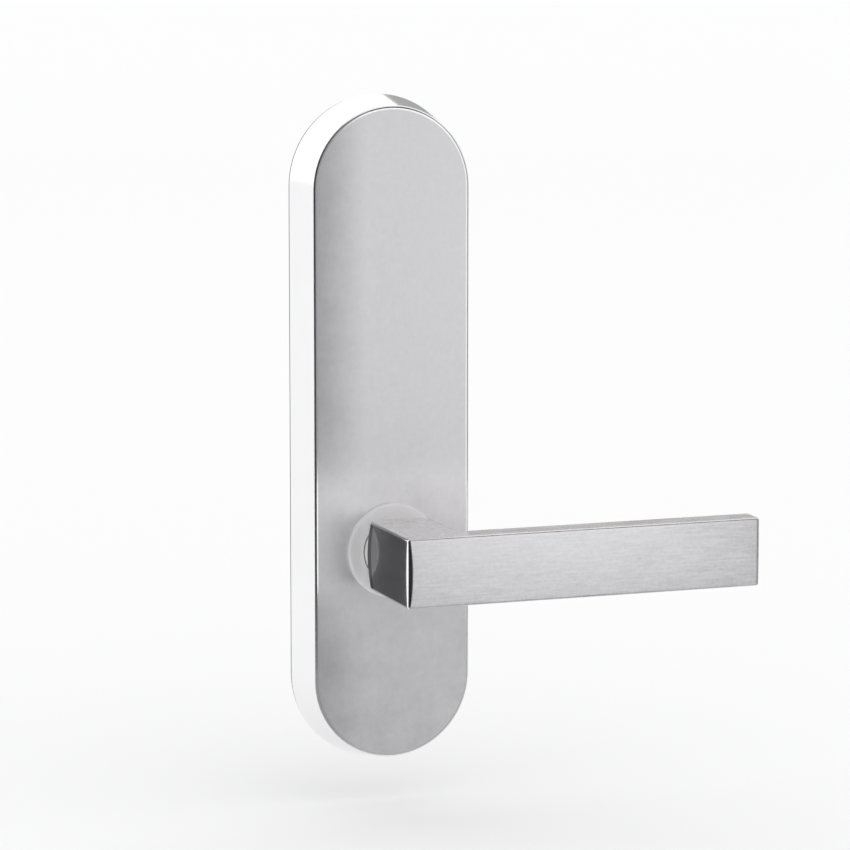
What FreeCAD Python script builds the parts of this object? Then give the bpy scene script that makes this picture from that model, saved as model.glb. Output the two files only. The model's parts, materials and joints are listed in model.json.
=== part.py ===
"""Inside half of a keypad lever lock: a long round-ended cover with a sprung lever handle.

Frame: the origin is where the lever's axis meets the door-side face. +Z is up, +X is the way
the lever's arm points, and -Y is out of the door, towards the hand. "Depth" below means the
distance in front of the door-side face, so a depth of d is the plane y = -d.
All sizes are in millimetres.
"""
import FreeCAD, Part
import math
import os

import Sketcher

PARTS = "parts"

# Driving dimensions: (name, value, meaning).
SIZES = (
    # cover
    ("face_width", 58.0, "width of the cover's flat front face"),
    ("face_height", 233.0, "height of the cover's flat front face"),
    ("cover_depth", 18.1, "depth of the cover from its rim to its front face"),
    ("side_draft", 3.15, "how much the rim stands out beyond the face, all round"),
    ("cover_wall", 2.0, "wall of the cover"),
    ("face_edge_radius", 1.1, "rounding between face and side wall"),
    ("gasket_thickness", 1.2, "foam gasket between lock and door"),
    ("gasket_inset", 0.3, "how far the gasket stays inside the cover's rim"),
    ("fit_play", 0.03, "play of screws, cam and ring where they sit tight"),
    ("cut_over", 1.0, "how far a cutting shape reaches past the material"),
    ("spindle_drop", 41.4, "distance of the lever's axis below the middle of the cover"),
    # mounting plate
    ("plate_thickness", 2.0, "steel mounting plate"),
    ("plate_gap", 0.4, "gap between the plate's edge and the cover's wall"),
    ("bolt_spacing", 186.0, "distance between the two through-bolt holes"),
    ("bolt_hole_radius", 2.75, "through-bolt holes, for M5 bolts"),
    ("spindle_hole_gap", 2.4, "gap around the spindle's corners in plate, gasket and cassette"),
    # lever
    ("neck_width", 22.3, "width of the lever's square neck"),
    ("lever_height", 24.4, "height of neck and arm"),
    ("finger_gap", 37.0, "clear distance from the cover's face to the back of the arm"),
    ("arm_thickness", 11.1, "thickness of the arm, front to back"),
    ("lever_length", 132.6, "from the outer side of the neck to the tip of the arm"),
    ("elbow_radius", 2.0, "rounding of the outer edge where neck turns into arm"),
    ("lever_edge_radius", 0.8, "rounding of the lever's other long edges"),
    ("tip_radius", 1.5, "rounding of the two upright edges at the tip"),
    ("root_chamfer", 4.2, "length of the turned cone at the neck's root"),
    ("shank_step", 0.2, "how far the round shank stays inside the neck's sides"),
    ("tenon_wall", 3.0, "metal around the spindle in the shank's square end"),
    # collar and bush
    ("collar_radius", 17.0, "round collar around the lever's shank"),
    ("collar_height", 1.6, "how far the collar stands out of the face"),
    ("collar_bevel", 0.8, "width of the sloping ring on the collar"),
    ("collar_rim", 0.8, "upright rim of the collar at the face"),
    ("collar_wall", 1.5, "wall of the collar around the bush"),
    ("collar_lip", 0.6, "thickness of the lip in front of the bush"),
    ("collar_running_gap", 2.7, "gap between collar and neck, where the round shank shows"),
    ("bush_wall", 1.5, "wall of the nylon bush"),
    ("running_clearance", 0.05, "radial clearance of the shank in its bush"),
    ("loose_clearance", 0.35, "radial clearance where the shank passes other holes"),
    # spring cassette
    ("cassette_wall", 2.0, "side wall of the cassette"),
    ("cassette_floor", 1.5, "floor and lid of the cassette"),
    ("lid_gap", 0.6, "gap between the cassette's lid and the cover"),
    ("ear_width", 12.0, "width of the cassette's two fixing ears"),
    ("cassette_screw_radius", 1.5, "M3 screws of the cassette"),
    ("cassette_hole_radius", 1.6, "holes for those screws"),
    ("ear_offset", 4.0, "distance of the cassette's screws from its side wall"),
    ("cam_thickness", 3.0, "driver cam"),
    ("cam_margin", 1.5, "how far the driver cam stands out beyond the spring's coils"),
    ("lug_margin", 0.8, "how far the cam's lug stands out beyond the spring's legs"),
    ("lug_root", 2.0, "how far the lug's outline starts inside the cam's disc"),
    ("lug_half_angle", 12.0, "half of the lug's width, in degrees"),
    ("lever_travel", 45.0, "how far the lever turns down, in degrees"),
    ("stop_play", 0.5, "play between lug and stop, in degrees"),
    ("stop_width", 15.0, "width of each stop, in degrees"),
    ("stop_gap", 0.7, "gap between the cam's disc and the stops"),
    ("lug_gap", 0.6, "gap between the cam's lug and the cassette's wall"),
    ("axial_play", 0.4, "gap between moving and fixed pieces along the axis"),
    ("peg_radius", 1.5, "peg on the cam that the spring pushes"),
    ("peg_height", 2.9, "height of that peg above the cam"),
    ("peg_gap", 1.4, "gap between the peg and the spring's coils"),
    ("spring_wire_radius", 0.8, "wire of the return spring"),
    ("spring_gap", 1.45, "gap between the shank and the return spring"),
    ("spring_touch", 0.05, "gap between the spring's legs and what they press on"),
    ("spring_end_gap", 0.35, "gap between the spring and the cam or the retaining ring"),
    ("leg_margin", 1.7, "how far the spring's legs reach past the peg's axis"),
    ("ring_thickness", 1.0, "retaining ring on the shank"),
    ("ring_width", 2.0, "how far the retaining ring stands out of the shank"),
    ("ring_groove_depth", 0.7, "depth of the ring's groove in the shank"),
    ("ring_play", 0.05, "play of the ring on each side in its groove"),
    ("ring_mouth_half", 4.0, "half width of the ring's mouth"),
    ("ring_mouth_start", 2.0, "distance of the mouth's cut from the lever's axis"),
    # spindle and its screw
    ("spindle_side", 8.0, "square spindle"),
    ("spindle_gap", 0.05, "gap on each side of the spindle in its square bore"),
    ("spindle_reach", 42.0, "how far the spindle stands out behind the door-side face"),
    ("spindle_overlap", 8.0, "how far the spindle reaches past its set screw"),
    ("spindle_chamfer", 0.6, "bevel on the spindle's two ends"),
    ("set_screw_offset", 4.2, "distance of the set screw from the end of the neck's cone"),
    ("set_screw_radius", 2.5, "M5 set screw"),
    ("set_screw_inset", 1.0, "how far the set screw stays inside the neck's underside"),
    ("key_share", 0.55, "half width of a set screw's socket, as a share of its radius"),
    # pan-head screws, each size as a share of the thread's radius
    ("head_share", 1.8, "radius of the head"),
    ("head_height_share", 1.1, "height of the head"),
    ("socket_share", 0.75, "half width of the hexagonal socket"),
    ("socket_depth_share", 0.7, "depth of the socket's cut"),
    ("socket_seat_share", 0.5, "height of the socket's floor above the head's seat"),
    # fixing of the cover
    ("cover_screw_radius", 2.0, "M4 screw in the bottom end of the cover"),
    ("cover_screw_length", 9.0, "length of that screw"),
    ("cover_screw_depth", 10.0, "depth of that screw's axis"),
    ("cover_screw_inset", 0.8, "how far that screw stays inside the cover's side"),
    ("screw_hole_gap", 0.4, "gap around that screw in the cover's side"),
    ("bracket_width", 12.0, "width of the brackets that hold the cover"),
    ("bracket_sheet", 1.5, "sheet thickness of those brackets"),
    ("bracket_rise", 8.5, "how far the upper hook stands in front of the plate"),
    ("bracket_foot", 5.0, "length of the upper hook's foot"),
    ("bracket_block", 7.0, "height of the tapped block"),
    ("catch_lip", 3.75, "height of the catch's lip"),
    ("hook_gap", 0.3, "gap between hook and catch"),
    ("end_gap", 2.4, "distance of the brackets from the inner end of the cover's face"),
    # battery tray
    ("cell_radius", 5.25, "size AAA cell"),
    ("cell_length", 44.5, "size AAA cell with its contact nub"),
    ("cell_rib", 0.4, "spare space between neighbouring cells"),
    ("cell_gap", 0.15, "gap around each cell in its trough"),
    ("nub_radius", 1.9, "contact nub of a cell"),
    ("nub_height", 1.0, "height of that nub"),
    ("tray_floor", 1.2, "floor and walls of the tray"),
    ("tray_wall_height", 9.0, "height of the tray's walls"),
    ("tray_tab", 7.0, "side of the tray's square fixing tabs"),
    ("tray_screw_radius", 1.25, "screws of the tray"),
    ("tray_hole_radius", 1.3, "holes for those screws"),
    ("tray_offset", 3.5, "distance between control board and battery tray"),
    ("contact_space", 2.6, "room for the contacts at each end of the cells"),
    ("contact_sheet", 0.4, "thickness of the contact plates"),
    ("contact_half", 4.0, "half width of a contact plate at one cell"),
    ("contact_front", 3.0, "how far a contact plate reaches in front of the cells' axes"),
    ("dome_base_radius", 3.0, "wide end of a contact's dome"),
    ("dome_tip_radius", 1.2, "narrow end of a contact's dome"),
    # control board
    ("board_left", -25.0, "left edge of the control board"),
    ("board_width", 32.0, "width of the control board"),
    ("board_offset", 2.0, "distance between the cassette's ear and the control board"),
    ("board_height", 33.0, "height of the control board"),
    ("board_thickness", 1.6, "control board"),
    ("standoff_height", 3.0, "stand-offs that carry the board"),
    ("standoff_radius", 2.5, "stand-offs that carry the board"),
    ("board_margin", 3.5, "distance of the board's screws from its edges"),
    ("board_screw_radius", 1.2, "screws of the board"),
    ("board_screw_reach", 2.4, "how far those screws reach into their stand-offs"),
    ("board_hole_radius", 1.35, "holes for those screws"),
    ("chip_side", 10.0, "square case of the controller"),
    ("chip_height", 1.4, "height of that case"),
    ("chip_rise", 11.0, "height of its middle above the board's lower edge"),
    ("buzzer_radius", 5.0, "buzzer"),
    ("buzzer_height", 4.0, "height of the buzzer"),
    ("buzzer_offset", 5.0, "distance of the buzzer from the board's middle, to the left"),
    ("buzzer_rise", 24.5, "height of the buzzer above the board's lower edge"),
    ("buzzer_mouth_radius", 1.0, "hole in the buzzer's top"),
    ("buzzer_mouth_depth", 1.0, "depth of that hole"),
    ("socket_length", 7.0, "cable socket, along X"),
    ("socket_width", 10.0, "cable socket, along Z"),
    ("socket_height", 5.0, "cable socket, height above the board"),
    ("socket_margin", 1.0, "distance of the socket from the board's right edge"),
    ("slot_length", 5.0, "depth of the socket's slot"),
    ("slot_wall", 1.2, "wall of the socket under and over its slot"),
    ("slot_side_wall", 1.0, "wall of the socket at the slot's ends"),
    ("cable_offset", 10.0, "distance of the cable hole from the board's right edge"),
    ("cable_rise", 16.0, "height of the cable hole above the board's lower edge"),
    ("grommet_radius", 7.0, "grommet where it passes the plate"),
    ("grommet_bore_radius", 5.0, "way through the grommet"),
    ("grommet_flange", 1.5, "flange of the grommet"),
    ("grommet_lip", 1.6, "how far the flange stands out beyond the tube"),
    ("grommet_inset", 0.2, "how far the grommet stays in front of the door"),
)

CELLS = 4
NEAR = 1e-4
NO_VOLUME = 1e-6
WIRE_VOLUME_ERROR = 1.0

doc = FreeCAD.newDocument("lever_lock_inside_half")
sheet = doc.addObject("Spreadsheet::Sheet", "Sizes")
for row, (alias, number, meaning) in enumerate(SIZES, 1):
    sheet.set(f"A{row}", meaning)
    sheet.set(f"B{row}", str(number))
    sheet.setAlias(f"B{row}", alias)

# Sizes that follow from the driving ones: (name, formula).
DERIVED = (
    ("shank_radius", "neck_width / 2 - shank_step"),
    ("collar_spigot_radius", "shank_radius + running_clearance + bush_wall + collar_wall"),
    ("tenon_side", "spindle_side + 2 * tenon_wall"),
    ("spindle_hole_radius", "spindle_side * sqrt(2) / 2 + spindle_hole_gap"),
    ("spring_coil_radius", "shank_radius + spring_gap + spring_wire_radius"),
    ("cam_radius", "spring_coil_radius + spring_wire_radius + cam_margin"),
    ("stop_inner_radius", "cam_radius + stop_gap"),
    ("peg_reach", "spring_coil_radius + spring_wire_radius + peg_gap + peg_radius"),
    ("spring_leg_end", "peg_reach + leg_margin"),
    ("lug_radius", "spring_leg_end + lug_margin"),
    ("cassette_radius", "lug_radius + lug_gap + cassette_wall"),
    ("cassette_height",
     "cover_depth - cover_wall - plate_thickness - cassette_floor - lid_gap"),
    ("ring_outer_radius", "shank_radius + ring_width"),
    ("ear_reach", "cassette_radius + ear_offset"),
    ("board_bottom", "ear_reach + ear_width / 2 + board_offset"),
    ("tray_bottom", "board_bottom + board_height + tray_offset"),
    ("cell_pitch", "2 * cell_radius + 2 * cell_gap + cell_rib"),
    ("cable_hole_x", "board_left + board_width + cable_offset"),
    ("cable_hole_z", "board_bottom + cable_rise"),
    ("set_screw_depth", "gasket_thickness + cover_depth + collar_height"
     " + collar_running_gap + root_chamfer + set_screw_offset"),
    ("spindle_seat", "set_screw_depth + spindle_overlap"),
)
for row, (alias, formula) in enumerate(DERIVED, len(SIZES) + 2):
    sheet.set(f"A{row}", "derived")
    sheet.set(f"B{row}", f"={formula}")
    sheet.setAlias(f"B{row}", alias)
doc.recompute()

NAMES = {alias for alias, *rest in SIZES + DERIVED}
SUBPARTS = []


# ---- expressions ------------------------------------------------------------------------

def bound(expression):
    """Write an expression of plain size names as one that reads the spreadsheet."""
    words = []
    word = ""
    for letter in str(expression) + " ":
        if letter.isalnum() or letter == "_":
            word += letter
            continue
        words.append(f"Sizes.{word}" if word in NAMES else word)
        words.append(letter)
        word = ""
    return "".join(words).strip()


def value(expression):
    """The number that an expression of size names stands for now."""
    result = sheet.evalExpression(bound(expression))
    return float(getattr(result, "Value", result))


def bind(item, **properties):
    """Bind properties to expressions: a double underscore stands for a dot."""
    for name, expression in properties.items():
        item.setExpression(name.replace("__", "."), bound(expression))
    return item


# Planes and places that several pieces share.
RIM = "gasket_thickness"
FACE = "(gasket_thickness + cover_depth)"
PLATE_FRONT = "(gasket_thickness + plate_thickness)"
INNER_FACE = f"({FACE} - cover_wall)"
DRAFT_ANGLE = "atan(side_draft / cover_depth)"
FACE_ARC = "(face_width / 2)"
UPPER_ARC_Z = "(spindle_drop + (face_height - face_width) / 2)"
LOWER_ARC_Z = "(spindle_drop - (face_height - face_width) / 2)"
RIM_ARC = f"({FACE_ARC} + side_draft)"
PLATE_ARC = f"({RIM_ARC} - cover_wall - side_draft * plate_thickness / cover_depth - plate_gap)"
ARM_BACK = f"({FACE} + finger_gap)"
ARM_FRONT = f"({ARM_BACK} + arm_thickness)"
ROOT = f"({FACE} + collar_height + collar_running_gap)"
CUP_FLOOR = f"({PLATE_FRONT} + cassette_floor)"
CUP_TOP = f"({PLATE_FRONT} + cassette_height)"
LID_TOP = f"({CUP_TOP} + cassette_floor)"
CAM_BACK = f"({CUP_FLOOR} + axial_play)"
CAM_FRONT = f"({CAM_BACK} + cam_thickness)"
RING_FRONT = f"({CUP_TOP} - axial_play)"
RING_BACK = f"({RING_FRONT} - ring_thickness)"
BUSH_RADIUS = "(shank_radius + running_clearance + bush_wall)"
CELL_DEPTH = f"({PLATE_FRONT} + tray_floor + cell_gap + cell_radius)"
LAST_CELL = (CELLS - 1) / 2
TRAY_HALF = f"({LAST_CELL} * cell_pitch + cell_radius + cell_gap + tray_floor)"
TRAY_TOP = "(tray_bottom + 2 * tray_floor + 2 * contact_space + cell_length)"
TRAY_SCREW_PLACES = (f"-cell_pitch * {LAST_CELL}", f"cell_pitch * {LAST_CELL}")
TRAY_SCREW_Z = f"({TRAY_TOP} + tray_tab / 2)"
BOARD_BACK = f"({PLATE_FRONT} + standoff_height)"
BOARD_FRONT = f"({BOARD_BACK} + board_thickness)"


# ---- sketches and features --------------------------------------------------------------

def new_body(name):
    body = doc.addObject("PartDesign::Body", name)
    body.Label = name
    SUBPARTS.append(body)
    return body


def sketch_on(body, name, role, offset="0"):
    """A sketch on one of the body's own origin planes, moved along the plane's normal.

    On XZ_Plane the sketch's x and y are X and Z, and the offset is a depth.
    On XY_Plane they are X and Y, and the offset is a height.
    """
    plane = next(item for item in body.Origin.OriginFeatures if item.Role == role)
    sketch = body.newObject("Sketcher::SketchObject", f"{body.Name}_{name}")
    sketch.AttachmentSupport = [(plane, "")]
    sketch.MapMode = "FlatFace"
    bind(sketch, AttachmentOffset__Base__z=offset)
    return sketch


def tie(sketch, kind, geometry, vertex, expression):
    """Hold one coordinate of a sketch point at an expression's value."""
    number = value(expression)
    index = sketch.addConstraint(
        Sketcher.Constraint(kind, -1, 1, geometry, vertex, number))
    sketch.setExpression(f"Constraints[{index}]", bound(expression))


def polygon(sketch, corners):
    """A closed outline of straight lines through corners given as expressions."""
    first = sketch.GeometryCount
    places = [FreeCAD.Vector(value(x), value(y), 0) for x, y in corners]
    count = len(corners)
    for index in range(count):
        line = Part.LineSegment(places[index], places[(index + 1) % count])
        sketch.addGeometry(line, False)
    for index in range(count):
        following = first + (index + 1) % count
        sketch.addConstraint(Sketcher.Constraint("Coincident", first + index, 2, following, 1))
    for index, (x, y) in enumerate(corners):
        tie(sketch, "DistanceX", first + index, 1, x)
        tie(sketch, "DistanceY", first + index, 1, y)
    return sketch


def rectangle(sketch, left, right, low, high):
    return polygon(sketch, ((left, low), (right, low), (right, high), (left, high)))


def circle(sketch, x, y, radius):
    index = sketch.GeometryCount
    place = FreeCAD.Vector(value(x), value(y), 0)
    sketch.addGeometry(Part.Circle(place, FreeCAD.Vector(0, 0, 1), value(radius)), False)
    tie(sketch, "DistanceX", index, 3, x)
    tie(sketch, "DistanceY", index, 3, y)
    size = sketch.addConstraint(Sketcher.Constraint("Radius", index, value(radius)))
    sketch.setExpression(f"Constraints[{size}]", bound(radius))
    return sketch


def obround(sketch, radius, lower, upper):
    """An upright round-ended outline: two straight sides and two half circles."""
    arc, low, high = value(radius), value(lower), value(upper)
    normal = FreeCAD.Vector(0, 0, 1)
    top = Part.Circle(FreeCAD.Vector(0, high, 0), normal, arc)
    bottom = Part.Circle(FreeCAD.Vector(0, low, 0), normal, arc)
    sketch.addGeometry(Part.LineSegment(FreeCAD.Vector(-arc, low, 0),
                                        FreeCAD.Vector(-arc, high, 0)), False)
    sketch.addGeometry(Part.ArcOfCircle(top, 0, math.pi), False)
    sketch.addGeometry(Part.LineSegment(FreeCAD.Vector(arc, high, 0),
                                        FreeCAD.Vector(arc, low, 0)), False)
    sketch.addGeometry(Part.ArcOfCircle(bottom, math.pi, 2 * math.pi), False)
    for first, end, second, start in ((0, 2, 1, 2), (1, 1, 2, 1), (2, 2, 3, 2), (3, 1, 0, 1)):
        sketch.addConstraint(Sketcher.Constraint("Tangent", first, end, second, start))
    sketch.addConstraint(Sketcher.Constraint("Vertical", 0))
    sketch.addConstraint(Sketcher.Constraint("Equal", 1, 3))
    sketch.addConstraint(Sketcher.Constraint("PointOnObject", 1, 3, -2))
    tie(sketch, "DistanceY", 1, 3, upper)
    tie(sketch, "DistanceY", 3, 3, lower)
    size = sketch.addConstraint(Sketcher.Constraint("Radius", 1, arc))
    sketch.setExpression(f"Constraints[{size}]", bound(radius))
    return sketch


def feature(body, kind, sketch, **properties):
    """Add a sketch-based feature and check that it changed the solid's volume."""
    before = body.Shape.Volume if body.Tip else 0.0
    item = body.newObject(f"PartDesign::{kind}", f"{sketch.Name}_{kind.lower()}")
    item.Profile = sketch
    for name in ("Reversed", "Midplane"):
        if name in properties:
            setattr(item, name, properties.pop(name))
    if kind in ("Revolution", "Groove"):
        item.ReferenceAxis = (sketch, ["V_Axis"])
        item.Angle = 360
    bind(item, **properties)
    doc.recompute()
    grew = body.Shape.Volume > before + NO_VOLUME
    shrank = body.Shape.Volume < before - NO_VOLUME
    if (kind in ("Pad", "Revolution") and not grew) or (kind in ("Pocket", "Groove") and not shrank):
        raise ValueError(f"{item.Name} left {body.Label} unchanged")
    return item


def fillet(body, name, radius, chosen):
    """Round the edges of the body that the test picks."""
    base = body.Tip
    names = [f"Edge{index}" for index, edge in enumerate(base.Shape.Edges, 1) if chosen(edge)]
    item = body.newObject("PartDesign::Fillet", f"{body.Name}_{name}")
    item.Base = (base, names)
    bind(item, Radius=radius)
    doc.recompute()
    return item


def turned(name, outline):
    """A ring turned about the lever's axis, from (radius, depth) corners."""
    body = new_body(name)
    sketch = sketch_on(body, "section", "XY_Plane")
    polygon(sketch, [(radius, f"-{depth}") for radius, depth in outline])
    feature(body, "Revolution", sketch)
    return body


# ---- primitives -------------------------------------------------------------------------

def block(name, left, right, back, front, low, high):
    """A box between two x, two depths and two heights."""
    item = doc.addObject("Part::Box", name)
    return bind(item, Length=f"{right} - ({left})", Width=f"{front} - ({back})",
                Height=f"{high} - ({low})", Placement__Base__x=left,
                Placement__Base__y=f"-({front})", Placement__Base__z=low)


def rod(name, radius, x, z, back, front):
    """A round bar along the lever's direction, between two depths."""
    item = doc.addObject("Part::Cylinder", name)
    item.Placement.Rotation = FreeCAD.Rotation(FreeCAD.Vector(1, 0, 0), 90)
    return bind(item, Radius=radius, Height=f"{front} - ({back})", Placement__Base__x=x,
                Placement__Base__y=f"-({back})", Placement__Base__z=z)


def post(name, radius, x, depth, low, high):
    """An upright round bar between two heights."""
    item = doc.addObject("Part::Cylinder", name)
    return bind(item, Radius=radius, Height=f"{high} - ({low})", Placement__Base__x=x,
                Placement__Base__y=f"-({depth})", Placement__Base__z=low)


def hexagon(name, radius, height):
    """A hexagonal prism for a key socket, along +Z from its own origin."""
    item = doc.addObject("Part::Prism", name)
    item.Polygon = 6
    return bind(item, Circumradius=radius, Height=height)


def fuse(name, items):
    item = doc.addObject("Part::MultiFuse", name)
    item.Shapes = items
    return item


def cut(name, base, tool):
    item = doc.addObject("Part::Cut", name)
    item.Base = base
    item.Tool = tool
    return item


def group(name, items):
    """Separate solids that share one sub-part."""
    item = doc.addObject("Part::Compound", name)
    item.Links = items
    return item


def subpart(item, name):
    item.Label = name
    SUBPARTS.append(item)
    return item


def pan_screw(name, radius, x, z, tip, seat):
    """A pan-head screw along the lever's direction with a hexagonal socket in its head."""
    shank = rod(f"{name}_shank", radius, x, z, tip, seat)
    head = rod(f"{name}_head", f"{radius} * head_share", x, z, seat,
               f"{seat} + {radius} * head_height_share")
    key = hexagon(f"{name}_key", f"{radius} * socket_share", f"{radius} * socket_depth_share")
    key.Placement.Rotation = FreeCAD.Rotation(FreeCAD.Vector(1, 0, 0), 90)
    bind(key, Placement__Base__x=x, Placement__Base__z=z,
         Placement__Base__y=f"-({seat} + {radius} * socket_seat_share)")
    return cut(name, fuse(f"{name}_solid", [shank, head]), key)


# ---- fixed pieces: cover, gasket and plate ----------------------------------------------

def cover_shell():
    """The round-ended cover: drafted side wall, open towards the door."""
    body = new_body("cover_shell")
    outline = obround(sketch_on(body, "rim", "XZ_Plane", RIM), RIM_ARC, LOWER_ARC_Z, UPPER_ARC_Z)
    feature(body, "Pad", outline, Length="cover_depth", TaperAngle=f"-{DRAFT_ANGLE}")
    face_y = -value(FACE)
    fillet(body, "face_edge", "face_edge_radius",
           lambda edge: abs(edge.BoundBox.YMin - face_y) < NEAR
           and abs(edge.BoundBox.YMax - face_y) < NEAR)
    inside = obround(sketch_on(body, "inside", "XZ_Plane", RIM),
                     f"{RIM_ARC} - cover_wall", LOWER_ARC_Z, UPPER_ARC_Z)
    feature(body, "Pocket", inside, Reversed=True, Length="cover_depth - cover_wall",
            TaperAngle=f"-{DRAFT_ANGLE}")
    hole = circle(sketch_on(body, "collar_hole", "XZ_Plane", FACE), "0", "0",
                  "collar_spigot_radius")
    feature(body, "Pocket", hole, Length="cover_wall * 2")
    screw = circle(sketch_on(body, "screw_hole", "XY_Plane", "0"), "0", "-cover_screw_depth",
                   "cover_screw_radius + screw_hole_gap")
    feature(body, "Pocket", screw, Length="face_height")


def plate_holes(body, depth, thickness):
    """Cut the holes that gasket and plate share, from their front face back to the door."""
    sketch = sketch_on(body, "holes", "XZ_Plane", depth)
    circle(sketch, "0", "0", "spindle_hole_radius")
    circle(sketch, "cable_hole_x", "cable_hole_z", "grommet_radius")
    circle(sketch, "0", "spindle_drop + bolt_spacing / 2", "bolt_hole_radius")
    circle(sketch, "0", "spindle_drop - bolt_spacing / 2", "bolt_hole_radius")
    feature(body, "Pocket", sketch, Length=thickness)


def door_gasket():
    """A sheet of foam behind cover and plate."""
    body = new_body("door_gasket")
    outline = obround(sketch_on(body, "outline", "XZ_Plane"), f"{RIM_ARC} - gasket_inset",
                      LOWER_ARC_Z, UPPER_ARC_Z)
    feature(body, "Pad", outline, Length="gasket_thickness")
    plate_holes(body, "gasket_thickness", "gasket_thickness")


def mounting_plate():
    """Steel plate inside the cover's rim, with four stand-offs for the board."""
    body = new_body("mounting_plate")
    outline = obround(sketch_on(body, "outline", "XZ_Plane", RIM), PLATE_ARC,
                      LOWER_ARC_Z, UPPER_ARC_Z)
    feature(body, "Pad", outline, Length="plate_thickness")
    plate_holes(body, PLATE_FRONT, "plate_thickness")
    standoffs = sketch_on(body, "standoffs", "XZ_Plane", PLATE_FRONT)
    for x, z in board_corners():
        circle(standoffs, x, z, "standoff_radius")
    feature(body, "Pad", standoffs, Length="standoff_height")
    tapped = sketch_on(body, "tapped_holes", "XZ_Plane", BOARD_BACK)
    for x, z in board_corners():
        circle(tapped, x, z, "1.25")
    feature(body, "Pocket", tapped, Length="standoff_height")
    fixings = sketch_on(body, "fixing_holes", "XZ_Plane", PLATE_FRONT)
    for z in ("ear_reach", "-ear_reach"):
        circle(fixings, "0", z, "1.5")
    for x in TRAY_SCREW_PLACES:
        circle(fixings, x, TRAY_SCREW_Z, "1.25")
    feature(body, "Pocket", fixings, Length="plate_thickness")


# ---- fixed pieces: collar, bush and spring cassette --------------------------------------

def lever_collar():
    """Bevelled collar on the face: its spigot passes the cover, its lip covers the bush."""
    top = f"({FACE} + collar_height)"
    seat = f"({top} - collar_lip)"
    inner = "(shank_radius + loose_clearance)"
    turned("lever_collar", (
        (inner, seat), (inner, top),
        ("(collar_radius - collar_bevel)", top),
        ("collar_radius", f"({FACE} + collar_rim)"), ("collar_radius", FACE),
        ("collar_spigot_radius", FACE), ("collar_spigot_radius", INNER_FACE),
        (BUSH_RADIUS, INNER_FACE), (BUSH_RADIUS, seat)))


def lever_bush():
    """Nylon bush that the lever's shank turns in, pushed into the collar from behind."""
    bore = "(shank_radius + running_clearance)"
    seat = f"({FACE} + collar_height - collar_lip)"
    turned("lever_bush", ((bore, INNER_FACE), (BUSH_RADIUS, INNER_FACE), (BUSH_RADIUS, seat),
                          (bore, seat)))


def polar(radius, angle):
    """Corner at a radius and an angle in degrees, counted from +X towards +Z."""
    return f"{radius} * cos(({angle}) * 1 deg)", f"{radius} * sin(({angle}) * 1 deg)"


def stop_outline(start):
    """A stop inside the cup's wall, from its start angle onwards."""
    outer = "(cassette_radius - cassette_wall / 2)"
    end = f"{start} + stop_width"
    middle = f"{start} + stop_width / 2"
    return (polar("stop_inner_radius", start), polar(outer, start), polar(outer, middle),
            polar(outer, end), polar("stop_inner_radius", end))


def cassette_cup():
    """Cup of the spring cassette: two fixing ears, a spindle hole and two stops."""
    body = new_body("cassette_cup")
    base = obround(sketch_on(body, "ears", "XZ_Plane", PLATE_FRONT), "ear_width / 2",
                   "-ear_reach", "ear_reach")
    feature(body, "Pad", base, Length="cassette_floor")
    wall = circle(sketch_on(body, "wall", "XZ_Plane", PLATE_FRONT), "0", "0", "cassette_radius")
    feature(body, "Pad", wall, Length="cassette_height")
    inside = circle(sketch_on(body, "inside", "XZ_Plane", CUP_TOP), "0", "0",
                    "cassette_radius - cassette_wall")
    feature(body, "Pocket", inside, Length="cassette_height - cassette_floor")
    rest = sketch_on(body, "rest_stop", "XZ_Plane", CUP_FLOOR)
    polygon(rest, stop_outline("90 + lug_half_angle + stop_play"))
    feature(body, "Pad", rest, Length="cassette_height - cassette_floor")
    end = sketch_on(body, "end_stop", "XZ_Plane", CUP_FLOOR)
    polygon(end, stop_outline("90 - lug_half_angle - lever_travel - stop_play - stop_width"))
    feature(body, "Pad", end, Length="cassette_height - cassette_floor")
    holes = sketch_on(body, "holes", "XZ_Plane", CUP_FLOOR)
    circle(holes, "0", "0", "spindle_hole_radius")
    circle(holes, "0", "ear_reach", "cassette_hole_radius")
    circle(holes, "0", "-ear_reach", "cassette_hole_radius")
    feature(body, "Pocket", holes, Length="cassette_floor")


def cassette_lid():
    """Lid of the spring cassette."""
    hole = "(shank_radius + loose_clearance)"
    turned("cassette_lid", ((hole, CUP_TOP), ("cassette_radius", CUP_TOP),
                            ("cassette_radius", LID_TOP), (hole, LID_TOP)))


def cassette_screws():
    """Two screws that hold the cassette to the plate."""
    screws = [pan_screw(f"cassette_screw_{side}", "cassette_screw_radius", "0",
                        f"{sign}ear_reach", RIM, CUP_FLOOR)
              for side, sign in (("top", ""), ("low", "-"))]
    subpart(group("cassette_screws_group", screws), "cassette_screws")


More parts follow.
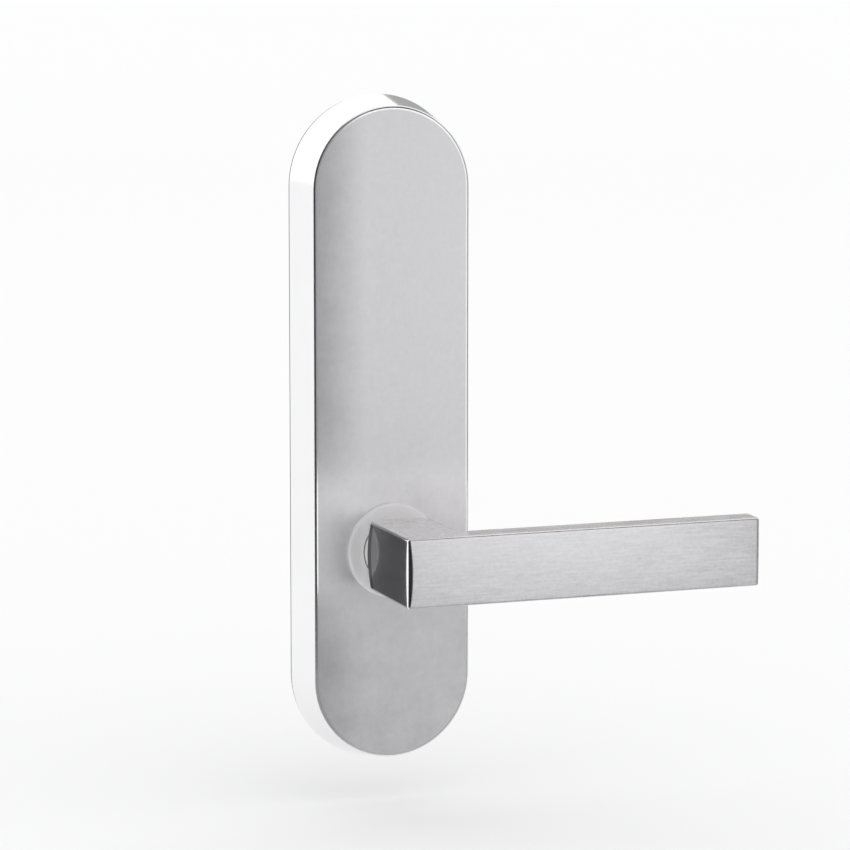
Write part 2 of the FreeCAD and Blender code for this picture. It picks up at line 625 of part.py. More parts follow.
def return_spring():
    """Torsion spring around the shank: its rear leg pushes the cam's peg back to rest.

    The wire runs in along the rear leg, beside the peg, round the coil, and out along the front
    leg, beside the end stop. Each leg leaves the coil by a quarter bend, which sets it off to the
    side of the lever's axis by the bend's radius.
    """
    wire = value("spring_wire_radius")
    coil_radius = value("spring_coil_radius")
    leg_end = value("spring_leg_end")
    touch = wire + value("spring_touch")
    bend = value("peg_radius") + touch
    rear_angle = math.pi / 2
    stop_edge = math.radians(value("90 - lug_half_angle - lever_travel - stop_play"))
    front_angle = stop_edge - math.asin(bend / leg_end) + math.asin(touch / leg_end)
    sweep = front_angle + 4 * math.pi - rear_angle
    rear = value(CAM_FRONT) + wire + value("spring_end_gap")
    front = value(RING_BACK) - wire - value("spring_end_gap")
    rise = (front - rear) / sweep
    leg_length = leg_end - coil_radius - bend

    def leg(angle, away):
        """Quarter bend and straight leg at one end: away is -1 at the rear, 1 at the front."""
        outward = FreeCAD.Vector(math.cos(angle), math.sin(angle), 0)
        start = outward * coil_radius + FreeCAD.Vector(0, 0, rise * angle)
        tangent = FreeCAD.Vector(-coil_radius * math.sin(angle), coil_radius * math.cos(angle),
                                 rise).normalize() * away
        centre = start + outward * bend
        middle = centre + (tangent - outward) * (bend / math.sqrt(2))
        corner = centre + tangent * bend
        return [Part.Arc(start, middle, corner).toShape(),
                Part.LineSegment(corner, corner + outward * leg_length).toShape()]

    coil = Part.makeHelix(rise * 2 * math.pi, front - rear, coil_radius)
    first, last = leg(0.0, -1), leg(sweep, 1)
    line = Part.Wire(Part.__sortEdges__(first + coil.Edges + last))
    tip = first[1].Vertexes[1].Point
    section = Part.makeCircle(wire, tip, first[1].Vertexes[0].Point - tip)
    item = doc.addObject("Part::Feature", "return_spring")
    item.Shape = line.makePipeShell([Part.Wire([section])], True, True)
    if abs(item.Shape.Volume - math.pi * wire ** 2 * line.Length) > WIRE_VOLUME_ERROR:
        raise ValueError("the return spring's wire has the wrong volume")
    item.Placement = FreeCAD.Placement(
        FreeCAD.Vector(0, -rear, 0),
        FreeCAD.Rotation(FreeCAD.Vector(1, 0, 0), 90)
        * FreeCAD.Rotation(FreeCAD.Vector(0, 0, 1), math.degrees(rear_angle)))
    subpart(item, "return_spring")


# ---- moving pieces ----------------------------------------------------------------------

def lever_handle():
    """Square neck and flat arm in one piece, with the round shank and its square end."""
    body = new_body("lever_handle")
    left = "-(neck_width / 2)"
    right = "(neck_width / 2)"
    tip = "(lever_length - neck_width / 2)"
    outline = sketch_on(body, "outline", "XY_Plane")
    polygon(outline, ((left, f"-{ROOT}"), (left, f"-{ARM_FRONT}"), (tip, f"-{ARM_FRONT}"),
                      (tip, f"-{ARM_BACK}"), (right, f"-{ARM_BACK}"), (right, f"-{ROOT}")))
    feature(body, "Pad", outline, Midplane=True, Length="lever_height")

    left_x, tip_x = value(left), value(tip)
    root_y, front_y = -value(ROOT), -value(ARM_FRONT)

    def upright(edge, x, y=None):
        box = edge.BoundBox
        return (box.ZLength > 1 and box.XLength < NEAR and box.YLength < NEAR
                and abs(box.XMin - x) < NEAR and (y is None or abs(box.YMin - y) < NEAR))

    fillet(body, "elbow", "elbow_radius", lambda edge: upright(edge, left_x, front_y))
    fillet(body, "tip", "tip_radius", lambda edge: upright(edge, tip_x))
    level = value("lever_height") / 2
    fillet(body, "long_edges", "lever_edge_radius",
           lambda edge: edge.BoundBox.ZLength < NEAR
           and abs(abs(edge.BoundBox.ZMin) - level) < NEAR
           and edge.BoundBox.YMin < root_y - NEAR)

    cone = sketch_on(body, "root_cone", "XY_Plane")
    corner = "sqrt(neck_width ^ 2 + lever_height ^ 2) / 2"
    reach = f"({corner} + cut_over)"
    depth = f"({ROOT} + root_chamfer * ({reach} - shank_radius) / ({corner} - shank_radius))"
    polygon(cone, (("shank_radius", f"-{ROOT}"), (reach, f"-{depth}"), (reach, f"-{ROOT}")))
    feature(body, "Groove", cone)

    shank = circle(sketch_on(body, "shank", "XZ_Plane", ROOT), "0", "0", "shank_radius")
    feature(body, "Pad", shank, Reversed=True, Length=f"{ROOT} - {CAM_FRONT}")
    tenon = sketch_on(body, "tenon", "XZ_Plane", CAM_FRONT)
    rectangle(tenon, "-(tenon_side / 2)", "tenon_side / 2", "-(tenon_side / 2)", "tenon_side / 2")
    feature(body, "Pad", tenon, Reversed=True, Length="cam_thickness")
    groove = sketch_on(body, "ring_groove", "XY_Plane")
    inner = "(shank_radius - ring_groove_depth)"
    outer = "(shank_radius + cut_over)"
    rectangle(groove, inner, outer, f"-({RING_FRONT} + ring_play)",
              f"-({RING_BACK} - ring_play)")
    feature(body, "Groove", groove)

    bore = sketch_on(body, "square_bore", "XZ_Plane", CAM_BACK)
    side = "(spindle_side / 2 + spindle_gap)"
    rectangle(bore, f"-{side}", side, f"-{side}", side)
    feature(body, "Pocket", bore, Reversed=True, Length=f"spindle_seat + spindle_gap - {CAM_BACK}")
    screw = circle(sketch_on(body, "screw_hole", "XY_Plane"), "0", "-set_screw_depth",
                   "set_screw_radius")
    feature(body, "Pocket", screw, Length="lever_height")


def square_spindle():
    """Square bar from inside the neck to the lock case in the door."""
    body = new_body("square_spindle")
    half = "(spindle_side / 2)"
    outline = sketch_on(body, "section", "XZ_Plane", "-spindle_reach")
    rectangle(outline, f"-{half}", half, f"-{half}", half)
    feature(body, "Pad", outline, Length="spindle_reach + spindle_seat")
    base = body.Tip
    ends = [f"Edge{index}" for index, edge in enumerate(base.Shape.Edges, 1)
            if edge.BoundBox.YLength < NEAR]
    item = body.newObject("PartDesign::Chamfer", "square_spindle_ends")
    item.Base = (base, ends)
    bind(item, Size="spindle_chamfer")
    doc.recompute()


def lever_set_screw():
    """Set screw in the neck's underside that clamps the spindle."""
    top = "-(spindle_side / 2)"
    low = "-(lever_height / 2 - set_screw_inset)"
    screw = post("lever_set_screw_body", "set_screw_radius - fit_play", "0", "set_screw_depth",
                 low, top)
    key = hexagon("lever_set_screw_key", "set_screw_radius * key_share", "set_screw_radius")
    bind(key, Placement__Base__y="-set_screw_depth", Placement__Base__z=low)
    subpart(cut("lever_set_screw_cut", screw, key), "lever_set_screw")


def driver_cam():
    """Disc on the shank's square end: its lug runs between the stops, its peg meets the spring."""
    body = new_body("driver_cam")
    disc = circle(sketch_on(body, "disc", "XZ_Plane", CAM_BACK), "0", "0", "cam_radius")
    feature(body, "Pad", disc, Length="cam_thickness")
    lug = sketch_on(body, "lug", "XZ_Plane", CAM_BACK)
    first = "90 - lug_half_angle"
    last = "90 + lug_half_angle"
    inner = "(cam_radius - lug_root)"
    polygon(lug, (polar(inner, first), polar("lug_radius", first), polar("lug_radius", "90"),
                  polar("lug_radius", last), polar(inner, last)))
    feature(body, "Pad", lug, Length="cam_thickness")
    peg = circle(sketch_on(body, "peg", "XZ_Plane", CAM_FRONT), "0", "peg_reach", "peg_radius")
    feature(body, "Pad", peg, Length="peg_height")
    hole = sketch_on(body, "square_hole", "XZ_Plane", CAM_FRONT)
    side = "(tenon_side / 2 + fit_play)"
    rectangle(hole, f"-{side}", side, f"-{side}", side)
    feature(body, "Pocket", hole, Length="cam_thickness")


def retaining_ring():
    """Open ring in the shank's groove, behind the cassette's lid."""
    inner = "(shank_radius - ring_groove_depth + fit_play)"
    body = turned("retaining_ring", ((inner, RING_BACK), ("ring_outer_radius", RING_BACK),
                                     ("ring_outer_radius", RING_FRONT), (inner, RING_FRONT)))
    mouth = sketch_on(body, "mouth", "XZ_Plane", RING_FRONT)
    rectangle(mouth, "-ring_mouth_half", "ring_mouth_half", "-(ring_outer_radius + cut_over)",
              "-ring_mouth_start")
    feature(body, "Pocket", mouth, Length="ring_thickness")


# ---- fixed pieces: what holds the cover ---------------------------------------------------

HOOK_TOP = f"({UPPER_ARC_Z} + {FACE_ARC} - cover_wall - end_gap)"


def top_hook():
    """Bent strip on the plate: a foot, a leg towards the face and a lip that points up."""
    left, right = "-(bracket_width / 2)", "bracket_width / 2"
    lip = f"({PLATE_FRONT} + bracket_rise)"
    leg_top = f"({HOOK_TOP} - bracket_sheet * 3)"
    foot = block("top_hook_foot", left, right, PLATE_FRONT, f"{PLATE_FRONT} + bracket_sheet",
                 f"{leg_top} - bracket_foot", leg_top)
    leg = block("top_hook_leg", left, right, PLATE_FRONT, lip,
                f"{leg_top} - bracket_sheet", leg_top)
    tongue = block("top_hook_tongue", left, right, f"{lip} - bracket_sheet", lip,
                   leg_top, f"{HOOK_TOP} - bracket_sheet - hook_gap")
    subpart(fuse("top_hook_strip", [foot, leg, tongue]), "top_hook")


def cover_catch():
    """Bent strip inside the cover: its lip lies behind the hook's lip."""
    left, right = "-(bracket_width / 2)", "bracket_width / 2"
    lip_front = f"({PLATE_FRONT} + bracket_rise - bracket_sheet - hook_gap)"
    leg = block("cover_catch_leg", left, right, f"{lip_front} - bracket_sheet", INNER_FACE,
                f"{HOOK_TOP} - bracket_sheet", HOOK_TOP)
    lip = block("cover_catch_lip", left, right, f"{lip_front} - bracket_sheet", lip_front,
                f"{HOOK_TOP} - catch_lip", HOOK_TOP)
    subpart(fuse("cover_catch_strip", [leg, lip]), "cover_catch")


BRACKET_LOW = f"({LOWER_ARC_Z} - {FACE_ARC} + end_gap)"


def bottom_bracket():
    """Tapped block on the plate for the cover's screw."""
    left, right = "-(bracket_width / 2)", "bracket_width / 2"
    blank = block("bottom_bracket_block", left, right, PLATE_FRONT,
                  "cover_screw_depth + cover_screw_radius + bracket_sheet",
                  BRACKET_LOW, f"{BRACKET_LOW} + bracket_block")
    hole = post("bottom_bracket_hole", "cover_screw_radius", "0", "cover_screw_depth",
                f"{BRACKET_LOW} - cut_over", f"{BRACKET_LOW} + bracket_block + cut_over")
    subpart(cut("bottom_bracket_cut", blank, hole), "bottom_bracket")


def cover_screw():
    """Set screw that is backed out of the bracket into the hole in the cover's end."""
    side = f"({FACE_ARC} + side_draft * ({FACE} - cover_screw_depth) / cover_depth)"
    low = f"({LOWER_ARC_Z} - {side} + cover_screw_inset)"
    screw = post("cover_screw_body", "cover_screw_radius - fit_play", "0", "cover_screw_depth",
                 low, f"{low} + cover_screw_length")
    key = hexagon("cover_screw_key", "cover_screw_radius * key_share", "cover_screw_radius")
    bind(key, Placement__Base__y="-cover_screw_depth", Placement__Base__z=low)
    subpart(cut("cover_screw_cut", screw, key), "cover_screw")


# ---- fixed pieces: batteries and electronics ----------------------------------------------

def battery_tray():
    """Open plastic tray for four cells, with two fixing tabs at its upper end."""
    body = new_body("battery_tray")
    outer = rectangle(sketch_on(body, "outer", "XZ_Plane", PLATE_FRONT), f"-{TRAY_HALF}",
                      TRAY_HALF, "tray_bottom", TRAY_TOP)
    feature(body, "Pad", outer, Length="tray_wall_height")
    inner = rectangle(sketch_on(body, "inner", "XZ_Plane", f"{PLATE_FRONT} + tray_wall_height"),
                      f"-{TRAY_HALF} + tray_floor", f"{TRAY_HALF} - tray_floor",
                      "tray_bottom + tray_floor", f"{TRAY_TOP} - tray_floor")
    feature(body, "Pocket", inner, Length="tray_wall_height - tray_floor")
    for side, x in zip(("left", "right"), TRAY_SCREW_PLACES):
        tab = rectangle(sketch_on(body, f"{side}_tab", "XZ_Plane", PLATE_FRONT),
                        f"{x} - tray_tab / 2", f"{x} + tray_tab / 2", TRAY_TOP,
                        f"{TRAY_TOP} + tray_tab")
        feature(body, "Pad", tab, Length="tray_floor")
        hole = circle(sketch_on(body, f"{side}_hole", "XZ_Plane", f"{PLATE_FRONT} + tray_floor"),
                      x, TRAY_SCREW_Z, "tray_hole_radius")
        feature(body, "Pocket", hole, Length="tray_floor")


def tray_screws():
    """Two screws through the tray's tabs."""
    screws = [pan_screw(f"tray_screw_{side}", "tray_screw_radius", x, TRAY_SCREW_Z, RIM,
                        f"{PLATE_FRONT} + tray_floor")
              for side, x in zip(("left", "right"), TRAY_SCREW_PLACES)]
    subpart(group("tray_screws_group", screws), "tray_screws")


def cell_x(index):
    """Place of a cell's axis along X, counted from the left."""
    return f"cell_pitch * {index - LAST_CELL}"


def battery_cell(index):
    """One cell: every second one stands upside down."""
    x = cell_x(index)
    low = "(tray_bottom + tray_floor + contact_space)"
    high = f"({low} + cell_length)"
    upright = index % 2 == 0
    can = post(f"cell_{index + 1}_can", "cell_radius", x, CELL_DEPTH,
               low if upright else f"{low} + nub_height", f"{high} - nub_height" if upright else high)
    tip = post(f"cell_{index + 1}_nub", "nub_radius", x, CELL_DEPTH,
               f"{high} - nub_height" if upright else low, high if upright else f"{low} + nub_height")
    subpart(fuse(f"cell_{index + 1}", [can, tip]), f"battery_cell_{index + 1}")


def contact_plates(name, at_top):
    """Contact plates at one end of the tray, each with a raised dome at every cell."""
    wall = f"({TRAY_TOP} - tray_floor)" if at_top else "(tray_bottom + tray_floor)"
    plates = []
    runs = ((0, 1), (2, 3)) if at_top else ((0, 0), (1, 2), (3, 3))
    for first, last in runs:
        sheet_low = f"{wall} - contact_sheet" if at_top else wall
        sheet_high = wall if at_top else f"{wall} + contact_sheet"
        plate = block(f"{name}_{first}_sheet", f"{cell_x(first)} - contact_half",
                      f"{cell_x(last)} + contact_half", f"{CELL_DEPTH} - contact_half",
                      f"{CELL_DEPTH} + contact_front", sheet_low, sheet_high)
        domes = []
        for index in range(first, last + 1):
            dome = doc.addObject("Part::Cone", f"{name}_{index}_dome")
            bind(dome, Radius1="dome_tip_radius" if at_top else "dome_base_radius",
                 Radius2="dome_base_radius" if at_top else "dome_tip_radius",
                 Height="contact_space - contact_sheet",
                 Placement__Base__x=cell_x(index),
                 Placement__Base__y=f"-{CELL_DEPTH}",
                 Placement__Base__z=f"{wall} - contact_space" if at_top
                 else f"{wall} + contact_sheet")
            domes.append(dome)
        plates.append(fuse(f"{name}_{first}", [plate] + domes))
    subpart(group(f"{name}_group", plates), name)


def board_corners():
    """Places of the board's four screws."""
    right = "(board_left + board_width)"
    top = "(board_bottom + board_height)"
    return [(x, z) for x in ("board_left + board_margin", f"{right} - board_margin")
            for z in ("board_bottom + board_margin", f"{top} - board_margin")]


def control_board():
    """Circuit board on the plate's stand-offs."""
    body = new_body("control_board")
    outline = rectangle(sketch_on(body, "outline", "XZ_Plane", BOARD_BACK), "board_left",
                        "board_left + board_width", "board_bottom",
                        "board_bottom + board_height")
    feature(body, "Pad", outline, Length="board_thickness")
    holes = sketch_on(body, "holes", "XZ_Plane", BOARD_FRONT)
    for x, z in board_corners():
        circle(holes, x, z, "board_hole_radius")
    feature(body, "Pocket", holes, Length="board_thickness")


def board_screws():
    """Four screws that hold the board to its stand-offs."""
    screws = [pan_screw(f"board_screw_{index}", "board_screw_radius", x, z,
                        f"{BOARD_BACK} - board_screw_reach", BOARD_FRONT)
              for index, (x, z) in enumerate(board_corners(), 1)]
    subpart(group("board_screws_group", screws), "board_screws")


def board_pieces():
    """Controller, buzzer, cable socket and battery tabs on the board."""
    middle = "(board_left + board_width / 2)"
    chip_z = "(board_bottom + chip_rise)"
    chip = block("control_chip_case", f"{middle} - chip_side / 2", f"{middle} + chip_side / 2",
                 BOARD_FRONT, f"{BOARD_FRONT} + chip_height",
                 f"{chip_z} - chip_side / 2", f"{chip_z} + chip_side / 2")
    subpart(chip, "control_chip")
    buzzer_x, buzzer_z = f"{middle} - buzzer_offset", "board_bottom + buzzer_rise"
    buzzer_top = f"({BOARD_FRONT} + buzzer_height)"
    buzzer = rod("buzzer_case", "buzzer_radius", buzzer_x, buzzer_z, BOARD_FRONT, buzzer_top)
    mouth = rod("buzzer_mouth", "buzzer_mouth_radius", buzzer_x, buzzer_z,
                f"{buzzer_top} - buzzer_mouth_depth", f"{buzzer_top} + cut_over")
    subpart(cut("buzzer_cut", buzzer, mouth), "buzzer")
    socket_right = "(board_left + board_width - socket_margin)"
    case = block("cable_socket_case", f"{socket_right} - socket_length", socket_right, BOARD_FRONT,
                 f"{BOARD_FRONT} + socket_height", "cable_hole_z - socket_width / 2",
                 "cable_hole_z + socket_width / 2")
    slot = block("cable_socket_slot", f"{socket_right} - slot_length",
                 f"{socket_right} + cut_over", f"{BOARD_FRONT} + slot_wall",
                 f"{BOARD_FRONT} + socket_height - slot_wall",
                 "cable_hole_z - socket_width / 2 + slot_side_wall",
                 "cable_hole_z + socket_width / 2 - slot_side_wall")
    subpart(cut("cable_socket_cut", case, slot), "cable_socket")


def cable_grommet():
    """Rubber grommet that lines the cable's hole through gasket and plate."""
    tube = rod("grommet_tube", "grommet_radius", "cable_hole_x", "cable_hole_z",
               "grommet_inset", PLATE_FRONT)
    flange = rod("grommet_flange_disc", "grommet_radius + grommet_lip",
                 "cable_hole_x", "cable_hole_z",
                 PLATE_FRONT, f"{PLATE_FRONT} + grommet_flange")
    way = rod("grommet_way", "grommet_bore_radius", "cable_hole_x", "cable_hole_z", "-cut_over",
              f"{PLATE_FRONT} + grommet_flange + cut_over")
    subpart(cut("grommet_cut", fuse("grommet_solid", [tube, flange]), way), "cable_grommet")


# ---- build, check and write ---------------------------------------------------------------

cover_shell()
door_gasket()
mounting_plate()
lever_collar()
lever_bush()
cassette_cup()
cassette_lid()
cassette_screws()
return_spring()
top_hook()
cover_catch()
bottom_bracket()
cover_screw()
battery_tray()
tray_screws()
for cell_index in range(CELLS):
    battery_cell(cell_index)
contact_plates("contact_plates_upper", True)
contact_plates("contact_plates_lower", False)
control_board()
board_screws()
board_pieces()
cable_grommet()
lever_handle()
square_spindle()
lever_set_screw()
driver_cam()
retaining_ring()

doc.recompute()
for item in doc.Objects:
    if "Invalid" in item.State or "Error" in item.State:
        raise ValueError(f"{item.Name} failed: {item.State}")
for item in SUBPARTS:
    if item.Shape.isNull() or not item.Shape.isValid() or not item.Shape.Solids:
        raise ValueError(f"{item.Label} has no valid solid")

os.makedirs(PARTS, exist_ok=True)
for item in SUBPARTS:
    item.Shape.exportStep(os.path.join(PARTS, f"{item.Label}.step"))
    print(f"{item.Label}: {len(item.Shape.Solids)} solid(s), {item.Shape.Volume:.0f} mm3")
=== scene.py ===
# %% [markdown]
# # A door lock's inside half, in brushed and polished steel
#
# A long round-ended cover lies on the door. A bevelled collar stands on it, and out of the collar
# comes a square neck that turns at a right angle into a flat arm, the lever that a hand presses.
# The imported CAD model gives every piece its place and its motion. This script makes the visible
# skins finer than the CAD mesh, and gives each piece its metal, plastic or rubber.

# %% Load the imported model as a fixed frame
import json
import math

import bpy
import numpy as np
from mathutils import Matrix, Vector


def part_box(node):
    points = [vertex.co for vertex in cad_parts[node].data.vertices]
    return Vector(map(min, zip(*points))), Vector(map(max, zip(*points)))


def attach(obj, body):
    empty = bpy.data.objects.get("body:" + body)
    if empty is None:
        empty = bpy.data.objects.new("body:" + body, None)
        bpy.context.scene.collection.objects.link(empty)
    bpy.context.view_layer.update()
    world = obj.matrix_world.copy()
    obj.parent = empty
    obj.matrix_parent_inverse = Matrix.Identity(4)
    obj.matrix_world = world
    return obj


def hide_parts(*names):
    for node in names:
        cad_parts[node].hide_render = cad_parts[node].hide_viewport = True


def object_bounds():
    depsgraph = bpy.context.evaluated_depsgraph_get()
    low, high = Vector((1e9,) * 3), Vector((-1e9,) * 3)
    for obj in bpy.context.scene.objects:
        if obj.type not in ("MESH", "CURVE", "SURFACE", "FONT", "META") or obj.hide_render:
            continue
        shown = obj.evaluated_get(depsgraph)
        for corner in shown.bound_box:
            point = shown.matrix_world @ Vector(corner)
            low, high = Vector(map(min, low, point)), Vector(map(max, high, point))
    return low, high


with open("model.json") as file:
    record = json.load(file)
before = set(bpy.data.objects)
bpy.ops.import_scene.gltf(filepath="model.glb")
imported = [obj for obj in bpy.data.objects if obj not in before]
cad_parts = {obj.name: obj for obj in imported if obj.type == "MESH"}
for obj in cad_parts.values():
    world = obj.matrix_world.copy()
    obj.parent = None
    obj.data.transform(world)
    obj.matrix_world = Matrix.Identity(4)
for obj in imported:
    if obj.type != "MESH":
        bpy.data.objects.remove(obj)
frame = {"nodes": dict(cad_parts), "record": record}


def corners(box):
    """A box's two corners as plain lists of numbers."""
    return [list(map(float, corner)) for corner in box]


cad_box = corners(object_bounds())
MM = 0.001
print("CAD box in metres:", cad_box)

# %% [markdown]
# ## Reading sizes from the frame
#
# Nothing here is typed twice: the cover's width, the arm's height and the like are the
# differences between the corners of the CAD pieces, so the skins fit the model; a few sizes, such
# as the side wall's draft and the arm's thickness, are given as numbers. The lock's axis runs
# along Y, with the hand on the -Y side, so a "depth" below is a distance towards -Y.

# %% Measure the CAD pieces
cover_low, cover_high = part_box("cover_shell")
lever_low, lever_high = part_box("lever_handle")
collar_low, collar_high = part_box("lever_collar")
bush_low, bush_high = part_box("lever_bush")
plate_low, plate_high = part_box("mounting_plate")

RIM_DEPTH = -cover_high.y
FACE_DEPTH = -cover_low.y
SIDE_DRAFT = 3.15 * MM
COVER_WALL = 2.0 * MM
RIM_RADIUS = (cover_high.x - cover_low.x) / 2
FACE_RADIUS = RIM_RADIUS - SIDE_DRAFT
UPPER_CENTRE = cover_high.z - RIM_RADIUS
LOWER_CENTRE = cover_low.z + RIM_RADIUS
COLLAR_RADIUS = collar_high.x
COLLAR_TOP = -collar_low.y
SPIGOT_RADIUS = 14.0 * MM
ARM_FRONT = -lever_low.y
ARM_THICKNESS = 11.1 * MM
ARM_BACK = ARM_FRONT - ARM_THICKNESS
NECK_LEFT = lever_low.x
NECK_RIGHT = -lever_low.x
ARM_TIP = lever_high.x
HALF_HEIGHT = lever_high.z
SHANK_RADIUS = 10.95 * MM
ROOT_GAP = 4.3 * MM
ROOT_DEPTH = FACE_DEPTH + ROOT_GAP
ROOT_CHAMFER = 4.2 * MM
print("cover face is", round(2 * FACE_RADIUS / MM, 1), "mm wide; arm front at depth",
      round(ARM_FRONT / MM, 1), "mm; the plate behind is",
      round((plate_high.x - plate_low.x) / MM, 1), "mm wide")

# %% [markdown]
# ## From a grid of points to a mesh
#
# Every new skin below is a sheet of points laid out in rows and columns, worked out with numpy as
# whole arrays. Turning such a sheet into a mesh is always the same job, so it is one function: it
# numbers the points, joins neighbours into four-sided faces, and wraps a sheet round where its
# first and last column, or row, are neighbours as well.

# %% A helper that turns a sheet of points into a mesh object


def grid_faces(rows, columns, wrap_rows, wrap_columns):
    """Faces of a sheet: each joins a point, its right neighbour and the two in the next row."""
    row = np.arange(rows if wrap_rows else rows - 1)[:, None]
    column = np.arange(columns if wrap_columns else columns - 1)[None, :]
    next_row = (row + 1) % rows
    next_column = (column + 1) % columns
    faces = np.stack([row * columns + column, row * columns + next_column,
                      next_row * columns + next_column, next_row * columns + column], axis=-1)
    return faces.reshape(-1, 4)


SHARP_ANGLE = math.radians(30)


def make_piece(name, points, faces, body, materials, finish_of=None):
    """A mesh object from points (n, 3) and faces, riding on a body.

    finish_of gives each face the number of its material. Edges that turn by more than
    SHARP_ANGLE stay crisp, and flat faces keep their shading flat beside rounded edges.
    """
    mesh = bpy.data.meshes.new(name)
    mesh.from_pydata(points.reshape(-1, 3).tolist(), [], [list(face) for face in faces])
    for material in materials:
        mesh.materials.append(material)
    if finish_of is not None:
        mesh.polygons.foreach_set("material_index", np.asarray(finish_of, dtype=np.int32))
    mesh.polygons.foreach_set("use_smooth", np.ones(len(mesh.polygons), dtype=bool))
    mesh.validate()
    mesh.update()
    mesh.set_sharp_from_angle(angle=SHARP_ANGLE)
    piece = bpy.data.objects.new(name, mesh)
    bpy.context.scene.collection.objects.link(piece)
    weighted = piece.modifiers.new("flat faces stay flat", "WEIGHTED_NORMAL")
    weighted.keep_sharp = True
    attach(piece, body)
    print(name, "has", len(mesh.vertices), "points and", len(mesh.polygons), "faces")
    return piece


print("two rows of three points make", len(grid_faces(2, 3, False, False)), "faces")

# %% [markdown]
# ## Rounded corners
#
# No edge that a hand can reach is left sharp: each was broken with a file or a wheel. A bevel
# on the finished mesh would need its edges picked one by one, so the profiles are rounded before
# they become a sheet.

# %% A helper that rounds the corners of a profile


def rounding(start, corner, end, radius, steps=8):
    """Points of an arc of that radius, tangent to the two straight lines that meet at a corner."""
    start, corner, end = (np.asarray(place, dtype=float) for place in (start, corner, end))
    back = (start - corner) / np.linalg.norm(start - corner)
    ahead = (end - corner) / np.linalg.norm(end - corner)
    half = math.acos(float(np.clip(back @ ahead, -1, 1))) / 2
    centre = corner + (back + ahead) / np.linalg.norm(back + ahead) * radius / math.sin(half)
    first = corner + back * radius / math.tan(half) - centre
    last = corner + ahead * radius / math.tan(half) - centre
    t = np.linspace(0, 1, steps + 1)[:, None]
    turn = math.pi - 2 * half
    return centre + (np.sin((1 - t) * turn) * first + np.sin(t * turn) * last) / math.sin(turn)


def rounded_outline(corner_points, radii, steps=8):
    """An open profile through corners, each rounded by its own radius; 0 keeps it sharp."""
    places = [np.asarray(corner_points[0], dtype=float)[None, :]]
    for index in range(1, len(corner_points) - 1):
        before, corner, after = corner_points[index - 1:index + 2]
        if radii[index] > 0:
            places.append(rounding(before, corner, after, radii[index], steps))
        else:
            places.append(np.asarray(corner, dtype=float)[None, :])
    places.append(np.asarray(corner_points[-1], dtype=float)[None, :])
    return np.concatenate(places)


sample = rounded_outline([(0, 0), (1, 0), (1, 1)], [0, 0.5, 0])
print("a right angle rounded by half its side has", len(sample), "points")

# %% [markdown]
# ## Cutting a round hole
#
# Two pieces have a drilled hole: the cover's lower end, for the screw that holds it, and the
# neck's underside, for the screw that clamps the spindle. A hole could be worked into the sheet
# of points, but it would disturb rows that are otherwise regular. A Boolean with an exact solver
# does what the drill does, and its result is kept as the mesh, so nothing is left live.

# %% A helper that drills a piece upwards
HOLE_SIDES = 48


def drill(piece, x, depth, low, high, radius):
    """Cut an upright round hole of that radius between two heights out of a piece."""
    turn = np.linspace(0, 2 * np.pi, HOLE_SIDES, endpoint=False)
    ring = np.stack([x + radius * np.cos(turn), -depth + radius * np.sin(turn)], axis=1)
    points = np.concatenate([np.column_stack([ring, np.full(len(ring), z)]) for z in (low, high)])
    faces = grid_faces(2, len(ring), False, True).tolist()
    faces += [list(range(len(ring)))[::-1], list(range(len(ring), 2 * len(ring)))]
    tool_mesh = bpy.data.meshes.new("drill")
    tool_mesh.from_pydata(points.tolist(), [], faces)
    tool = bpy.data.objects.new("drill", tool_mesh)
    bpy.context.scene.collection.objects.link(tool)
    cut = piece.modifiers.new("drilled hole", "BOOLEAN")
    cut.operation = "DIFFERENCE"
    cut.solver = "EXACT"
    cut.object = tool
    while piece.modifiers[0] != cut:
        piece.modifiers.move(piece.modifiers.find(cut.name), 0)
    weighted = piece.modifiers["flat faces stay flat"]
    weighted.show_viewport = False
    bpy.context.view_layer.update()
    evaluated = piece.evaluated_get(bpy.context.evaluated_depsgraph_get())
    drilled = bpy.data.meshes.new_from_object(evaluated)
    piece.modifiers.remove(cut)
    piece.data = drilled
    drilled.set_sharp_from_angle(angle=SHARP_ANGLE)
    weighted.show_viewport = True
    bpy.data.objects.remove(tool)
    print(piece.name, "drilled, now", len(drilled.polygons), "faces")


print("a drill has", HOLE_SIDES, "sides")

# %% [markdown]
# ## Steel: one grain, several finishes
#
# All the metal seen here is the same stainless steel. What differs is how it was worked: the
# cover's face was brushed upwards, the arm along its length, the side wall was polished, and the
# collar was turned on a lathe. Brushing leaves thousands of fine scratches side by side, so the
# grain is noise that is stretched many times along the brush's way. A hand has pressed here and
# there, so broader patches lie over it. Several materials need this, so it is a node group: each
# material gives it the brush's direction by the scale of the three axes, and gets back a tone, a
# roughness and a height for bump.

# %% Helpers that add nodes to a tree


def add_node(tree, kind, place, **settings):
    """A node of that kind at a place in the editor, with its settings and socket values."""
    node = tree.nodes.new(kind)
    node.location = place
    for name, value in settings.items():
        if name in node.inputs:
            node.inputs[name].default_value = value
        else:
            setattr(node, name, value)
    return node


def math_node(tree, place, operation, first, second):
    """A Math node whose two inputs are sockets or plain numbers."""
    node = add_node(tree, "ShaderNodeMath", place, operation=operation)
    for index, source in enumerate((first, second)):
        if isinstance(source, (int, float)):
            node.inputs[index].default_value = source
        else:
            tree.links.new(source, node.inputs[index])
    return node.outputs[0]


print("node helpers:", add_node.__name__, math_node.__name__)

# %% The grain as a shared node group


